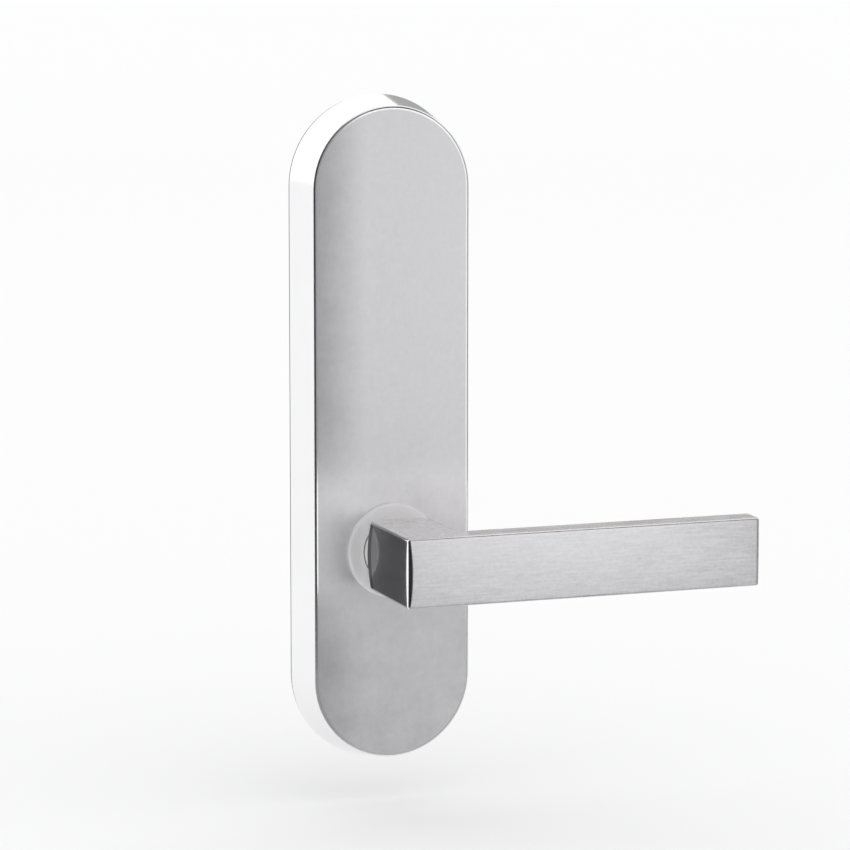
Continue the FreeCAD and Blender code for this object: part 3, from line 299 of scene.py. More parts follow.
def build_grain_group():
    """Brushed grain from four noises, each counted from its middle.

    Tone = 1 + Scratch * stretched fine noise + Cloud * stretched broad noise
    + Speckle * even fine noise + Patch * even broad noise.
    Roughness = Base Roughness + Roughness Change * all four.
    """
    group = bpy.data.node_groups.new("brushed_grain", "ShaderNodeTree")
    face = group.interface
    for name in ("Vector", "Stretch"):
        face.new_socket(name=name, in_out="INPUT", socket_type="NodeSocketVector")
    for name, value in (("Scratch", 0.1), ("Cloud", 0.1), ("Speckle", 0.1),
                        ("Speckle Scale", 900.0), ("Patch", 0.1), ("Patch Scale", 60.0),
                        ("Base Roughness", 0.3), ("Roughness Change", 0.1)):
        socket = face.new_socket(name=name, in_out="INPUT", socket_type="NodeSocketFloat")
        socket.default_value = value
    for name in ("Tone", "Roughness", "Height"):
        face.new_socket(name=name, in_out="OUTPUT", socket_type="NodeSocketFloat")
    enter = add_node(group, "NodeGroupInput", (-1100, 0))
    leave = add_node(group, "NodeGroupOutput", (900, 0))
    along = add_node(group, "ShaderNodeVectorMath", (-880, 100), operation="MULTIPLY")
    fine = add_node(group, "ShaderNodeTexNoise", (-600, 300), Scale=1.0, Detail=3.0,
                    Roughness=0.65)
    broad = add_node(group, "ShaderNodeTexNoise", (-600, 0), Scale=0.1, Detail=4.0,
                     Roughness=0.6)
    even = add_node(group, "ShaderNodeTexNoise", (-600, -300), Detail=2.0, Roughness=0.6)
    patch = add_node(group, "ShaderNodeTexNoise", (-600, -600), Detail=5.0, Roughness=0.65)
    group.links.new(enter.outputs["Vector"], along.inputs[0])
    group.links.new(enter.outputs["Stretch"], along.inputs[1])
    group.links.new(along.outputs["Vector"], fine.inputs["Vector"])
    group.links.new(along.outputs["Vector"], broad.inputs["Vector"])
    group.links.new(enter.outputs["Vector"], even.inputs["Vector"])
    group.links.new(enter.outputs["Speckle Scale"], even.inputs["Scale"])
    group.links.new(enter.outputs["Vector"], patch.inputs["Vector"])
    group.links.new(enter.outputs["Patch Scale"], patch.inputs["Scale"])
    parts = []
    for noise, share, level in ((fine, "Scratch", 300), (broad, "Cloud", 0),
                                (even, "Speckle", -300), (patch, "Patch", -600)):
        centred = math_node(group, (-380, level), "SUBTRACT", noise.outputs["Fac"], 0.5)
        parts.append(math_node(group, (-160, level), "MULTIPLY", centred,
                               enter.outputs[share]))
    two = math_node(group, (60, 150), "ADD", parts[0], parts[1])
    other_two = math_node(group, (60, -350), "ADD", parts[2], parts[3])
    four = math_node(group, (260, 60), "ADD", two, other_two)
    tone = math_node(group, (460, 60), "ADD", four, 1.0)
    change = math_node(group, (460, -200), "MULTIPLY", four,
                       enter.outputs["Roughness Change"])
    rough = math_node(group, (660, -200), "ADD", change, enter.outputs["Base Roughness"])
    group.links.new(tone, leave.inputs["Tone"])
    group.links.new(rough, leave.inputs["Roughness"])
    group.links.new(fine.outputs["Fac"], leave.inputs["Height"])
    return group


grain = build_grain_group()
print("grain group gives", [socket.name for socket in grain.nodes["Group Output"].inputs][:3])

# %% [markdown]
# ## A steel finish
#
# A finish is a metallic Principled shader whose colour, roughness and bump come from the grain.
# The direction of the brush is in the group's Stretch: an axis with a small number is the one that
# the scratches run along. Its numbers are scratches per metre, more or less.

# %% A function that makes a steel finish
RELIEF_DEPTH = 0.02 * MM


def steel(name, colour, roughness, stretch, scratch=0.1, cloud=0.1, speckle=0.0,
          speckle_scale=900.0, patch=0.0, patch_scale=60.0, change=0.5, bump=0.0, metallic=1.0):
    """A metal material with grain. stretch is noise cells per metre along X, Y and Z."""
    material = bpy.data.materials.new(name)
    material.use_nodes = True
    tree = material.node_tree
    shader = tree.nodes["Principled BSDF"]
    shader.inputs["Metallic"].default_value = metallic
    place = add_node(tree, "ShaderNodeTexCoord", (-900, 0))
    worn = add_node(tree, "ShaderNodeGroup", (-680, 0), node_tree=grain)
    for socket, value in (("Stretch", stretch), ("Scratch", scratch), ("Cloud", cloud),
                          ("Speckle", speckle), ("Speckle Scale", speckle_scale),
                          ("Patch", patch), ("Patch Scale", patch_scale),
                          ("Base Roughness", roughness), ("Roughness Change", change)):
        worn.inputs[socket].default_value = value
    tint = add_node(tree, "ShaderNodeVectorMath", (-380, 120), operation="SCALE")
    tint.inputs[0].default_value = colour
    tree.links.new(place.outputs["Object"], worn.inputs["Vector"])
    tree.links.new(worn.outputs["Tone"], tint.inputs["Scale"])
    tree.links.new(tint.outputs["Vector"], shader.inputs["Base Color"])
    tree.links.new(worn.outputs["Roughness"], shader.inputs["Roughness"])
    if bump > 0:
        relief = add_node(tree, "ShaderNodeBump", (-380, -200), Strength=bump)
        relief.inputs["Distance"].default_value = RELIEF_DEPTH
        tree.links.new(worn.outputs["Height"], relief.inputs["Height"])
        tree.links.new(relief.outputs["Normal"], shader.inputs["Normal"])
    return material


print("a brushed finish stands up to", RELIEF_DEPTH / MM, "mm high")

# %% [markdown]
# ## The finishes that a hand and a lathe leave
#
# The face and the arm were brushed on a belt, one up and down, the other along its length. The
# arm's back and ends are satin. Buffing leaves the rounded edges and the side wall almost
# mirror-bright. The rim at the door and the edge at the neck's root are coloured dark as painted
# shade: a dark outline where the cover meets the door and a painted shadow in the gap at the root.
# All of them could share one shiny metal, but it is the change from dull to bright at each edge
# that tells the eye how the piece was made.

# %% The steel finishes of cover, lever and collar
ACROSS = 1700.0
ALONG = 90.0
UP_THE_FACE = (ACROSS, ACROSS, 2 * ALONG)
LONG_STROKES = (1.4 * ALONG, ACROSS, ACROSS)
SHORT_STROKES = (2 * ALONG, ACROSS, ACROSS)
EVERY_WAY = (60, 60, 60)
DEEPER_THAN_WIDE = (300, 40, 300)
ROUND_THE_AXIS = (300, 6000, 300)
# After its name each finish gives its colour, its roughness and the way of its grain.
face_steel = steel("cover_face_brushed", (0.81, 0.805, 0.83), 0.40, UP_THE_FACE, scratch=0.10,
                   cloud=0.06, speckle=0.10, speckle_scale=400.0, patch=0.36, patch_scale=90.0,
                   bump=0.2)
polished_steel = steel("polished_steel", (0.93, 0.93, 0.935), 0.10, EVERY_WAY, scratch=0.04,
                       cloud=0.05)
edge_steel = steel("polished_edges", (0.90, 0.90, 0.905), 0.09, EVERY_WAY, scratch=0.0,
                   cloud=0.04)
arm_steel = steel("arm_face_brushed", (0.85, 0.845, 0.87), 0.36, LONG_STROKES, scratch=0.60,
                  cloud=0.26, speckle=0.30, speckle_scale=850.0, patch=0.25, patch_scale=60.0,
                  bump=0.35)
satin_steel = steel("satin_steel", (0.86, 0.84, 0.835), 0.28, SHORT_STROKES, scratch=0.06,
                    cloud=0.16, speckle=0.03, patch=0.30, patch_scale=110.0)
cover_edge = steel("cover_edge_buffed", (0.90, 0.90, 0.905), 0.20, EVERY_WAY, scratch=0.0,
                   cloud=0.04)
# The rim's dark colour is painted shade: it draws a dark outline where the cover meets the door.
rim_painted_outline_steel = steel("rim_painted_dark_outline", (0.30, 0.30, 0.305), 0.35, EVERY_WAY, scratch=0.1, cloud=0.1)
# Polished steel whose dark colour is a painted dark reflection, on top of what the cards mirror in
# it.
neck_mirror_painted_dark = steel("neck_side_painted_dark_reflection", (0.25, 0.25, 0.253), 0.10, DEEPER_THAN_WIDE,
                    scratch=0.10, cloud=0.20, speckle=0.10)
collar_steel = steel("collar_turned", (0.97, 0.97, 0.975), 0.60, ROUND_THE_AXIS, scratch=0.04,
                     cloud=0.06, speckle=0.04, metallic=0.6)
# Near-black steel that is painted shadow in the gap where the neck's root meets the collar.
root_painted_shadow = steel("root_edge_painted_shadow", (0.06, 0.06, 0.061), 0.25, (300, 300, 300), scratch=0.1,
                   cloud=0.1)
print("materials so far:", [material.name for material in bpy.data.materials])

# %% [markdown]
# ## The cover
#
# The real cover is pressed or cast steel: a flat front face with round ends, a side wall that
# leans out towards the door, a narrow buffed edge between the two and a rim at the door. The rim's
# dark colour is painted shade, a dark outline where the cover meets the door.
# It could be a box with a bevel, but then the light would break up on its round ends. Here it is
# one profile, drawn once as (distance from the centre line, depth), and carried along the
# round-ended outline: round the top, down one side, round the bottom and up the other side.

# %% The outline that the cover's profile follows


def outline_frame(arc_steps=72, side_steps=24):
    """Centre points and outward directions round the cover, in the X-Z plane.

    On the round ends the centre stands still and the direction turns by half a circle; on the
    straight sides the direction stands still and the centre moves.
    """
    arc = np.linspace(0, np.pi, arc_steps + 1)
    side = np.linspace(0, 1, side_steps + 1)[1:-1]
    span = UPPER_CENTRE - LOWER_CENTRE
    angle = np.concatenate([arc, np.full(len(side), np.pi), arc + np.pi,
                            np.full(len(side), 2 * np.pi)])
    height = np.concatenate([np.full(len(arc), UPPER_CENTRE), UPPER_CENTRE - span * side,
                             np.full(len(arc), LOWER_CENTRE), LOWER_CENTRE + span * side])
    return height, np.cos(angle), np.sin(angle)


def carried(profile, height, out_x, out_z):
    """The sheet of a profile of (distance, depth) rows carried along the outline's columns."""
    distance, depth = profile[:, 0][:, None], profile[:, 1][:, None]
    return np.stack([distance * out_x, -depth + 0 * out_x, height + distance * out_z], axis=-1)


height, out_x, out_z = outline_frame()
print("the cover's outline has", len(height), "columns")

# %% The cover's profile, carried round its outline
EDGE_RADIUS = 1.1 * MM
EDGE_STEPS = 10
POLISHED_LAND = 0.15 * MM
RIM_ROUNDING = 0.25 * MM
INSIDE_ROUNDING = 0.8 * MM
INSIDE_LAND = 3 * MM
inner_depth = FACE_DEPTH - COVER_WALL
rim_radius = FACE_RADIUS + SIDE_DRAFT
inner_face_radius = FACE_RADIUS - COVER_WALL + SIDE_DRAFT * COVER_WALL / (FACE_DEPTH - RIM_DEPTH)
land_start = FACE_RADIUS - EDGE_RADIUS - POLISHED_LAND
profile = rounded_outline(
    [(land_start, FACE_DEPTH), (FACE_RADIUS, FACE_DEPTH), (rim_radius, RIM_DEPTH),
     (rim_radius - COVER_WALL, RIM_DEPTH), (inner_face_radius, inner_depth),
     (inner_face_radius - INSIDE_LAND, inner_depth)],
    [0, EDGE_RADIUS, RIM_ROUNDING, RIM_ROUNDING, INSIDE_ROUNDING, 0], steps=EDGE_STEPS)
wall = carried(profile, height, out_x, out_z)
print("the cover's wall is a sheet of", wall.shape[:2], "points")

# %% Close the cover's face and inside round the collar's hole


def towards_hole(outer, depth, shares):
    """Rows between an outline row and the round hole about the axis, at shares of the way."""
    flat = outer[:, [0, 2]]
    hole = flat / np.linalg.norm(flat, axis=1, keepdims=True) * SPIGOT_RADIUS
    share = np.asarray(shares)[:, None, None]
    between = (1 - share) * hole + share * flat
    return np.stack([between[..., 0], np.full(between.shape[:2], -depth), between[..., 1]], axis=-1)


FACE_SHARES = (0.0, 0.03, 0.35, 0.7)
INSIDE_SHARES = (0.7, 0.35, 0.0)
front_rows = towards_hole(wall[0], FACE_DEPTH, FACE_SHARES)
back_rows = towards_hole(wall[-1], inner_depth, INSIDE_SHARES)
sheet = np.concatenate([front_rows, wall, back_rows])
rows, columns = sheet.shape[:2]
print("with face and inside it has", rows, "rows")

# %% Build the cover's skin
row_number = np.repeat(np.arange(rows), columns)
edge_start = len(front_rows)
edge_end = edge_start + EDGE_STEPS + 1
rim_end = edge_end + EDGE_STEPS + 1
BRUSHED, BUFFED_EDGE, POLISHED, RIM_PAINTED_OUTLINE = range(4)
cover_finish = np.full(len(row_number), POLISHED)
cover_finish[row_number < edge_end] = BUFFED_EDGE
cover_finish[row_number < edge_start] = BRUSHED
# The rows at the rim take the dark colour, painted shade along the cover's outline at the door.
cover_finish[(row_number > edge_end) & (row_number <= rim_end)] = RIM_PAINTED_OUTLINE
cover = make_piece("cover_skin", sheet, grid_faces(rows, columns, True, True)[:, ::-1],
                   "escutcheon", [face_steel, cover_edge, polished_steel, rim_painted_outline_steel], cover_finish)
screw_low, screw_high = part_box("cover_screw")
SCREW_HOLE_GAP = 0.4 * MM
drill(cover, 0.0, -(screw_low.y + screw_high.y) / 2, LOWER_CENTRE - 2 * RIM_RADIUS,
      LOWER_CENTRE - RIM_RADIUS / 2, (screw_high.x - screw_low.x) / 2 + SCREW_HOLE_GAP)
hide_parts("cover_shell")

# %% [markdown]
# ## The collar
#
# The collar was turned on a lathe: a low upright rim on the face, a sloping ring, and a flat top
# whose lip hides the nylon bush. A turned piece is a profile spun about an axis, so its sheet has
# the profile's points as rows and the turn's angle as columns.

# %% A helper that spins a profile about the lever's axis


def turned(profile, steps=128):
    """The sheet of a profile of (radius, depth) rows spun about the Y axis."""
    turn = np.linspace(0, 2 * np.pi, steps, endpoint=False)
    radius, depth = profile[:, 0][:, None], profile[:, 1][:, None]
    return np.stack([radius * np.cos(turn), -depth + 0 * turn, radius * np.sin(turn)], axis=-1)


print("a spun profile is a sheet of", turned(np.ones((3, 2))).shape[:2], "points for three")

# %% Build the collar
COLLAR_BEVEL = 0.8 * MM
COLLAR_RIM = 0.8 * MM
LIP_GAP = 0.35 * MM
LIP_ROUNDING, TOP_ROUNDING, RIM_EDGE_ROUNDING = 0.2 * MM, 0.5 * MM, 0.4 * MM
lip_radius = SHANK_RADIUS + LIP_GAP
bush_radius = bush_high.x
bush_top = -bush_low.y
collar_profile = rounded_outline(
    [(lip_radius, (bush_top + COLLAR_TOP) / 2), (lip_radius, COLLAR_TOP),
     (COLLAR_RADIUS - COLLAR_BEVEL, COLLAR_TOP), (COLLAR_RADIUS, FACE_DEPTH + COLLAR_RIM),
     (COLLAR_RADIUS, FACE_DEPTH), (SPIGOT_RADIUS, FACE_DEPTH), (SPIGOT_RADIUS, inner_depth),
     (bush_radius, inner_depth), (bush_radius, bush_top), (lip_radius, bush_top)],
    [0, LIP_ROUNDING, TOP_ROUNDING, RIM_EDGE_ROUNDING, 0, 0, 0, 0, 0, 0], steps=6)
collar_sheet = turned(collar_profile)
collar = make_piece("collar_skin", collar_sheet,
                    grid_faces(*collar_sheet.shape[:2], True, True)[:, ::-1],
                    "escutcheon", [collar_steel])
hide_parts("lever_collar")

# %% [markdown]
# ## The lever
#
# Neck and arm are one forging. Seen from above its outline is an L with rounded corners, and
# seen from the side every long edge is rounded a little by polishing. So the sheet's columns run
# round the L, and its rows climb from the bottom to the top: on the first and last rows the
# outline is pulled in by the edge's rounding. The corner where the neck turns into the arm is
# rounder at half height than at its ends, as hand polishing leaves it. At its root the neck is
# turned to a cone, which pushes the end of the L forward with the distance from the axis.

# %% The lever's rows, from its underside up
LONG_EDGE = 0.8 * MM
CROWN = 0.12 * MM
EDGE_ROWS = 8
LEVEL_ROWS = 32

roll = np.linspace(np.pi / 2, 0, EDGE_ROWS + 1)
edge_height = LONG_EDGE * (1 - np.sin(roll))
edge_inset = LONG_EDGE * (1 - np.cos(roll))
level = np.linspace(-HALF_HEIGHT + LONG_EDGE, HALF_HEIGHT - LONG_EDGE, LEVEL_ROWS + 1)[1:-1]
row_z = np.concatenate([-HALF_HEIGHT + edge_height, level, (HALF_HEIGHT - edge_height)[::-1]])
inset = np.concatenate([edge_inset, 0 * level, edge_inset[::-1]])
row_z, inset = row_z[:, None], inset[:, None]
middle = 1 - (row_z / HALF_HEIGHT) ** 2
print("the lever has", len(row_z), "rows")

# %% The lever's columns, once round the L
TIP_EDGE = 1.5 * MM
INNER_CORNER = 0.6 * MM
ELBOW_EDGE = 2.0 * MM
ELBOW_SHARE = 0.45
SMALLEST_ELBOW = 0.2 * MM
SMALLEST_ROOT_EDGE = 0.05 * MM
QUARTER_STEPS = 10


def quarter(centre_x, centre_depth, radius, first_x, first_depth):
    """Rows of a quarter turn: centre + radius * (first * cos t + next * sin t)."""
    t = np.linspace(0, np.pi / 2, QUARTER_STEPS + 1)[None, :]
    along_x = first_x * np.cos(t) + first_depth * np.sin(t)
    along_depth = first_depth * np.cos(t) - first_x * np.sin(t)
    return centre_x + radius * along_x, centre_depth + radius * along_depth


left, right = NECK_LEFT + inset, NECK_RIGHT - inset
tip = ARM_TIP - inset
front = ARM_FRONT - CROWN * (1 - middle) - inset
back = ARM_BACK + inset
elbow = ELBOW_EDGE * (ELBOW_SHARE + (1 - ELBOW_SHARE) * middle) - inset
elbow = np.maximum(elbow, SMALLEST_ELBOW)
tip_edge = TIP_EDGE - inset
inner = INNER_CORNER + inset
root_edge = LONG_EDGE - inset + SMALLEST_ROOT_EDGE
root = ROOT_DEPTH + inset
corner_x, corner_depth = quarter(right + inner, back - inner, inner, -1, 0)
turns = [quarter(left + elbow, front - elbow, elbow, -1, 0),
         quarter(tip - tip_edge, front - tip_edge, tip_edge, 0, 1),
         quarter(tip - tip_edge, back + tip_edge, tip_edge, 1, 0),
         (corner_x[:, ::-1], corner_depth[:, ::-1]),
         quarter(right - root_edge, root + root_edge, root_edge, 1, 0),
         quarter(left + root_edge, root + root_edge, root_edge, 0, -1)]
print("the L has", len(turns), "rounded corners")

# %% Join the corners with straight sides
# The sides are counted from 0, and the turn before each side is -1 minus the side's number.
FRONT, TIP_END, ARM_REAR, NECK_SIDE, ROOT_END, NECK_OUTER = range(6)
ELBOW, TIP_FRONT, TIP_BACK, INNER_TURN, ROOT_RIGHT, ROOT_LEFT = range(-1, -7, -1)
PARTS_OF_SIDE = [70, 2, 60, 26, 16, 34]
column_x, column_depth, column_side = [], [], []
for number, (turn_x, turn_depth) in enumerate(turns):
    next_x, next_depth = turns[(number + 1) % len(turns)]
    share = np.linspace(0, 1, PARTS_OF_SIDE[number] + 1)[None, 1:-1]
    column_x += [turn_x, turn_x[:, -1:] + (next_x[:, :1] - turn_x[:, -1:]) * share]
    column_depth += [turn_depth,
                     turn_depth[:, -1:] + (next_depth[:, :1] - turn_depth[:, -1:]) * share]
    column_side += [-1 - number] * QUARTER_STEPS + [number] * PARTS_OF_SIDE[number]
column_side = np.array(column_side)
lever_x = np.concatenate(column_x, axis=1)
lever_depth = np.concatenate(column_depth, axis=1)
lever_z = row_z + 0 * lever_x
print("the lever has", lever_x.shape[1], "columns")

# %% Turn the neck's root to a cone
CONE_REACH = 12 * MM
CONE_TOP = ROOT_DEPTH + CONE_REACH
TINY = 0.001 * MM
corner_reach = math.hypot(NECK_RIGHT, HALF_HEIGHT)
from_axis = np.hypot(lever_x, lever_z)
slope = ROOT_CHAMFER / (corner_reach - SHANK_RADIUS)
cone_depth = ROOT_DEPTH + slope * np.maximum(from_axis - SHANK_RADIUS, 0)
near_root = (lever_depth < CONE_TOP) & (lever_x < NECK_RIGHT + TINY)
left_over = (CONE_TOP - lever_depth) / (CONE_TOP - ROOT_DEPTH)
turned_depth = CONE_TOP - left_over * (CONE_TOP - cone_depth)
lever_depth = np.where(near_root, turned_depth, lever_depth)
print("the cone moves", int(near_root.sum()), "points forward")

# %% Give every face of the lever its finish
lever_rows, lever_columns = lever_x.shape
# The last of these finishes is the painted shadow at the neck's root.
ARM, SATIN, MIRROR_PAINTED_DARK, EDGE, PAINTED_SHADOW = range(5)
PAINTED_SHADOW_PARTS = 3
# The neck's sides take the polished steel whose colour carries a painted dark reflection.
finish_of_side = {FRONT: ARM, TIP_END: SATIN, ARM_REAR: SATIN, NECK_SIDE: MIRROR_PAINTED_DARK,
                  ROOT_END: EDGE, NECK_OUTER: MIRROR_PAINTED_DARK, TIP_FRONT: SATIN, ROOT_RIGHT: PAINTED_SHADOW,
                  ROOT_LEFT: PAINTED_SHADOW}
column_finish = np.array([finish_of_side.get(side, EDGE) for side in column_side])
column_finish[np.flatnonzero(column_side == ELBOW)[-1]] = ARM
# The columns of the neck's outer side next to its root get the painted shadow too, a dark strip
# along the root's edge.
column_finish[np.flatnonzero(column_side == NECK_OUTER)[:PAINTED_SHADOW_PARTS]] = PAINTED_SHADOW
along_arm = np.isin(column_side, [FRONT, ARM_REAR, TIP_FRONT, TIP_BACK, INNER_TURN])
round_root = np.isin(column_side, [NECK_SIDE, ROOT_END, ROOT_RIGHT, ROOT_LEFT])
# The rolled top and bottom edges of the neck's inner side and of its root get the painted shadow as
# well.
edge_finish = np.where(along_arm, SATIN, np.where(round_root, PAINTED_SHADOW, EDGE))
half_edge = EDGE_ROWS // 2
lever_finish = np.tile(column_finish, (lever_rows - 1, 1))
lever_finish[:EDGE_ROWS] = edge_finish
lever_finish[-EDGE_ROWS:] = edge_finish
lever_finish[half_edge:EDGE_ROWS, column_side == FRONT] = ARM
lever_finish[-EDGE_ROWS:-half_edge, column_side == FRONT] = ARM
lever_finish = np.concatenate([lever_finish.ravel(), [SATIN, SATIN]])
print("faces of each finish:", np.bincount(lever_finish).tolist())

# %% Build the lever's skin
lever_faces = grid_faces(lever_rows, lever_columns, False, True).tolist()
last_row = (lever_rows - 1) * lever_columns
lever_faces += [list(range(lever_columns))[::-1], list(range(last_row, last_row + lever_columns))]
lever_points = np.stack([lever_x, -lever_depth, lever_z], axis=-1)
lever = make_piece("lever_skin", lever_points, lever_faces, "lever",
                   [arm_steel, satin_steel, neck_mirror_painted_dark, edge_steel, root_painted_shadow], lever_finish)
grub_low, grub_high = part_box("lever_set_screw")
GRUB_GAP = 0.05 * MM
BELOW_NECK = 1 * MM
drill(lever, 0.0, -(grub_low.y + grub_high.y) / 2, -HALF_HEIGHT - BELOW_NECK, -SHANK_RADIUS,
      (grub_high.x - grub_low.x) / 2 + GRUB_GAP)

# %% [markdown]
# ## The shank
#
# Behind the collar the neck goes on as a round shank with a groove for its retaining ring, then
# as a square end that carries the cam, and a square bore runs up inside it for the spindle. All
# of that is one sheet: each row is a ring about the axis, either a circle or a square, and the
# rows run back along the outside and forward again along the bore.

# %% Measure what the shank carries
ring_low, ring_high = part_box("retaining_ring")
cam_back = -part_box("driver_cam")[1].y
spindle_low, spindle_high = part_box("square_spindle")
GROOVE_DEPTH = 0.7 * MM
CAM_THICKNESS = 3.0 * MM
TENON_WALL = 3.0 * MM
FIT_GAP = 0.05 * MM
SHANK_OVERLAP = 1 * MM


def ring_row(reach, depth, is_square, steps=96):
    """A ring about the axis: a circle of that radius, or a square of that half side.

    A point at angle t lies at reach for a circle, and at reach / max(|cos t|, |sin t|) for a
    square.
    """
    t = np.linspace(0, 2 * np.pi, steps, endpoint=False)
    c, s = np.cos(t), np.sin(t)
    away = reach / np.maximum(abs(c), abs(s)) if is_square else reach + 0 * t
    return np.stack([away * c, -depth + 0 * t, away * s], axis=-1)


groove_radius = SHANK_RADIUS - GROOVE_DEPTH
groove_front, groove_back = -ring_low.y + FIT_GAP, -ring_high.y - FIT_GAP
cam_front = cam_back + CAM_THICKNESS
spindle_half = spindle_high.x
tenon_half = spindle_half + TENON_WALL
seat = -spindle_low.y + FIT_GAP
shank_front = seat + SHANK_OVERLAP
bore_half = spindle_half + FIT_GAP
print("the bore ends", round(seat / MM, 1), "mm in front of the door")

# %% Build the shank with its square bore
shank_rows = np.stack([
    ring_row(SHANK_RADIUS, shank_front, False), ring_row(SHANK_RADIUS, groove_front, False),
    ring_row(groove_radius, groove_front, False), ring_row(groove_radius, groove_back, False),
    ring_row(SHANK_RADIUS, groove_back, False), ring_row(SHANK_RADIUS, cam_front, False),
    ring_row(tenon_half, cam_front, True), ring_row(tenon_half, cam_back, True),
    ring_row(bore_half, cam_back, True), ring_row(bore_half, seat, True)])
shank_count, ring_count = shank_rows.shape[:2]
shank_faces = grid_faces(shank_count, ring_count, False, True).tolist()
last_ring = (shank_count - 1) * ring_count
shank_faces += [list(range(ring_count))[::-1], list(range(last_ring, last_ring + ring_count))]
shank = make_piece("lever_shank", shank_rows, shank_faces, "lever", [collar_steel])
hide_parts("lever_handle")

# %% [markdown]
# ## Foam, rubber and moulded plastic
#
# The pieces inside and behind the lock keep their CAD shape, because a moulded tray or a stamped
# plate is already right. They still need their own surface: foam has open pores, a moulding has a
# fine eroded texture, zinc plating has a cloudy sheen. One group gives a mottled tone and a
# height from two sizes of noise, and each material decides how large and how strong they are.

# %% The mottle as a shared node group


def build_mottle_group():
    """Mottled surface: Tone = 1 + Amount * (broad noise - 0.5) * 2, Height = fine noise."""
    group = bpy.data.node_groups.new("mottled_surface", "ShaderNodeTree")
    face = group.interface
    face.new_socket(name="Vector", in_out="INPUT", socket_type="NodeSocketVector")
    for name, value in (("Broad Scale", 90.0), ("Fine Scale", 2500.0), ("Amount", 0.1),
                        ("Base Roughness", 0.5), ("Roughness Change", 0.1)):
        socket = face.new_socket(name=name, in_out="INPUT", socket_type="NodeSocketFloat")
        socket.default_value = value
    for name in ("Tone", "Roughness", "Height"):
        face.new_socket(name=name, in_out="OUTPUT", socket_type="NodeSocketFloat")
    enter = add_node(group, "NodeGroupInput", (-800, 0))
    leave = add_node(group, "NodeGroupOutput", (500, 0))
    broad = add_node(group, "ShaderNodeTexNoise", (-560, 160), Detail=4.0)
    fine = add_node(group, "ShaderNodeTexNoise", (-560, -140), Detail=2.0)
    for noise, scale in ((broad, "Broad Scale"), (fine, "Fine Scale")):
        group.links.new(enter.outputs["Vector"], noise.inputs["Vector"])
        group.links.new(enter.outputs[scale], noise.inputs["Scale"])
    centred = math_node(group, (-340, 160), "MULTIPLY_ADD", broad.outputs["Fac"], 2.0)
    centred.node.inputs[2].default_value = -1.0
    part = math_node(group, (-120, 160), "MULTIPLY", centred, enter.outputs["Amount"])
    tone = math_node(group, (100, 160), "ADD", part, 1.0)
    change = math_node(group, (-120, -60), "MULTIPLY", centred,
                       enter.outputs["Roughness Change"])
    rough = math_node(group, (100, -60), "ADD", change, enter.outputs["Base Roughness"])
    group.links.new(tone, leave.inputs["Tone"])
    group.links.new(rough, leave.inputs["Roughness"])
    group.links.new(fine.outputs["Fac"], leave.inputs["Height"])
    return group


mottle = build_mottle_group()
print("mottle group gives", [socket.name for socket in mottle.nodes["Group Output"].inputs][:3])

# %% A function that makes a mottled finish


def mottled(name, colour, roughness, broad, fine, amount, bump, depth, metallic=0.0, change=0.08):
    """A material whose tone, roughness and relief come from the mottle group."""
    material = bpy.data.materials.new(name)
    material.use_nodes = True
    tree = material.node_tree
    shader = tree.nodes["Principled BSDF"]
    shader.inputs["Metallic"].default_value = metallic
    place = add_node(tree, "ShaderNodeTexCoord", (-900, 0))
    worn = add_node(tree, "ShaderNodeGroup", (-680, 0), node_tree=mottle)
    for socket, value in (("Broad Scale", broad), ("Fine Scale", fine), ("Amount", amount),
                          ("Base Roughness", roughness), ("Roughness Change", change)):
        worn.inputs[socket].default_value = value
    tint = add_node(tree, "ShaderNodeVectorMath", (-380, 120), operation="SCALE")
    tint.inputs[0].default_value = colour
    relief = add_node(tree, "ShaderNodeBump", (-380, -200), Strength=bump, Distance=depth)
    tree.links.new(place.outputs["Object"], worn.inputs["Vector"])
    tree.links.new(worn.outputs["Tone"], tint.inputs["Scale"])
    tree.links.new(tint.outputs["Vector"], shader.inputs["Base Color"])
    tree.links.new(worn.outputs["Roughness"], shader.inputs["Roughness"])
    tree.links.new(worn.outputs["Height"], relief.inputs["Height"])
    tree.links.new(relief.outputs["Normal"], shader.inputs["Normal"])
    return material


print("a mottled finish sets", [socket.name for socket in mottle.nodes["Group Input"].outputs][1:6])

# %% [markdown]
# ## A finish for every kind of hidden piece
#
# Whoever opens the lock sees zinc-plated sheet, black screws, an oiled spring, a moulded tray with
# four cells and a green circuit board. The CAD record names a material slot for each piece, so
# the finishes are kept under those names and no piece has to be listed twice.

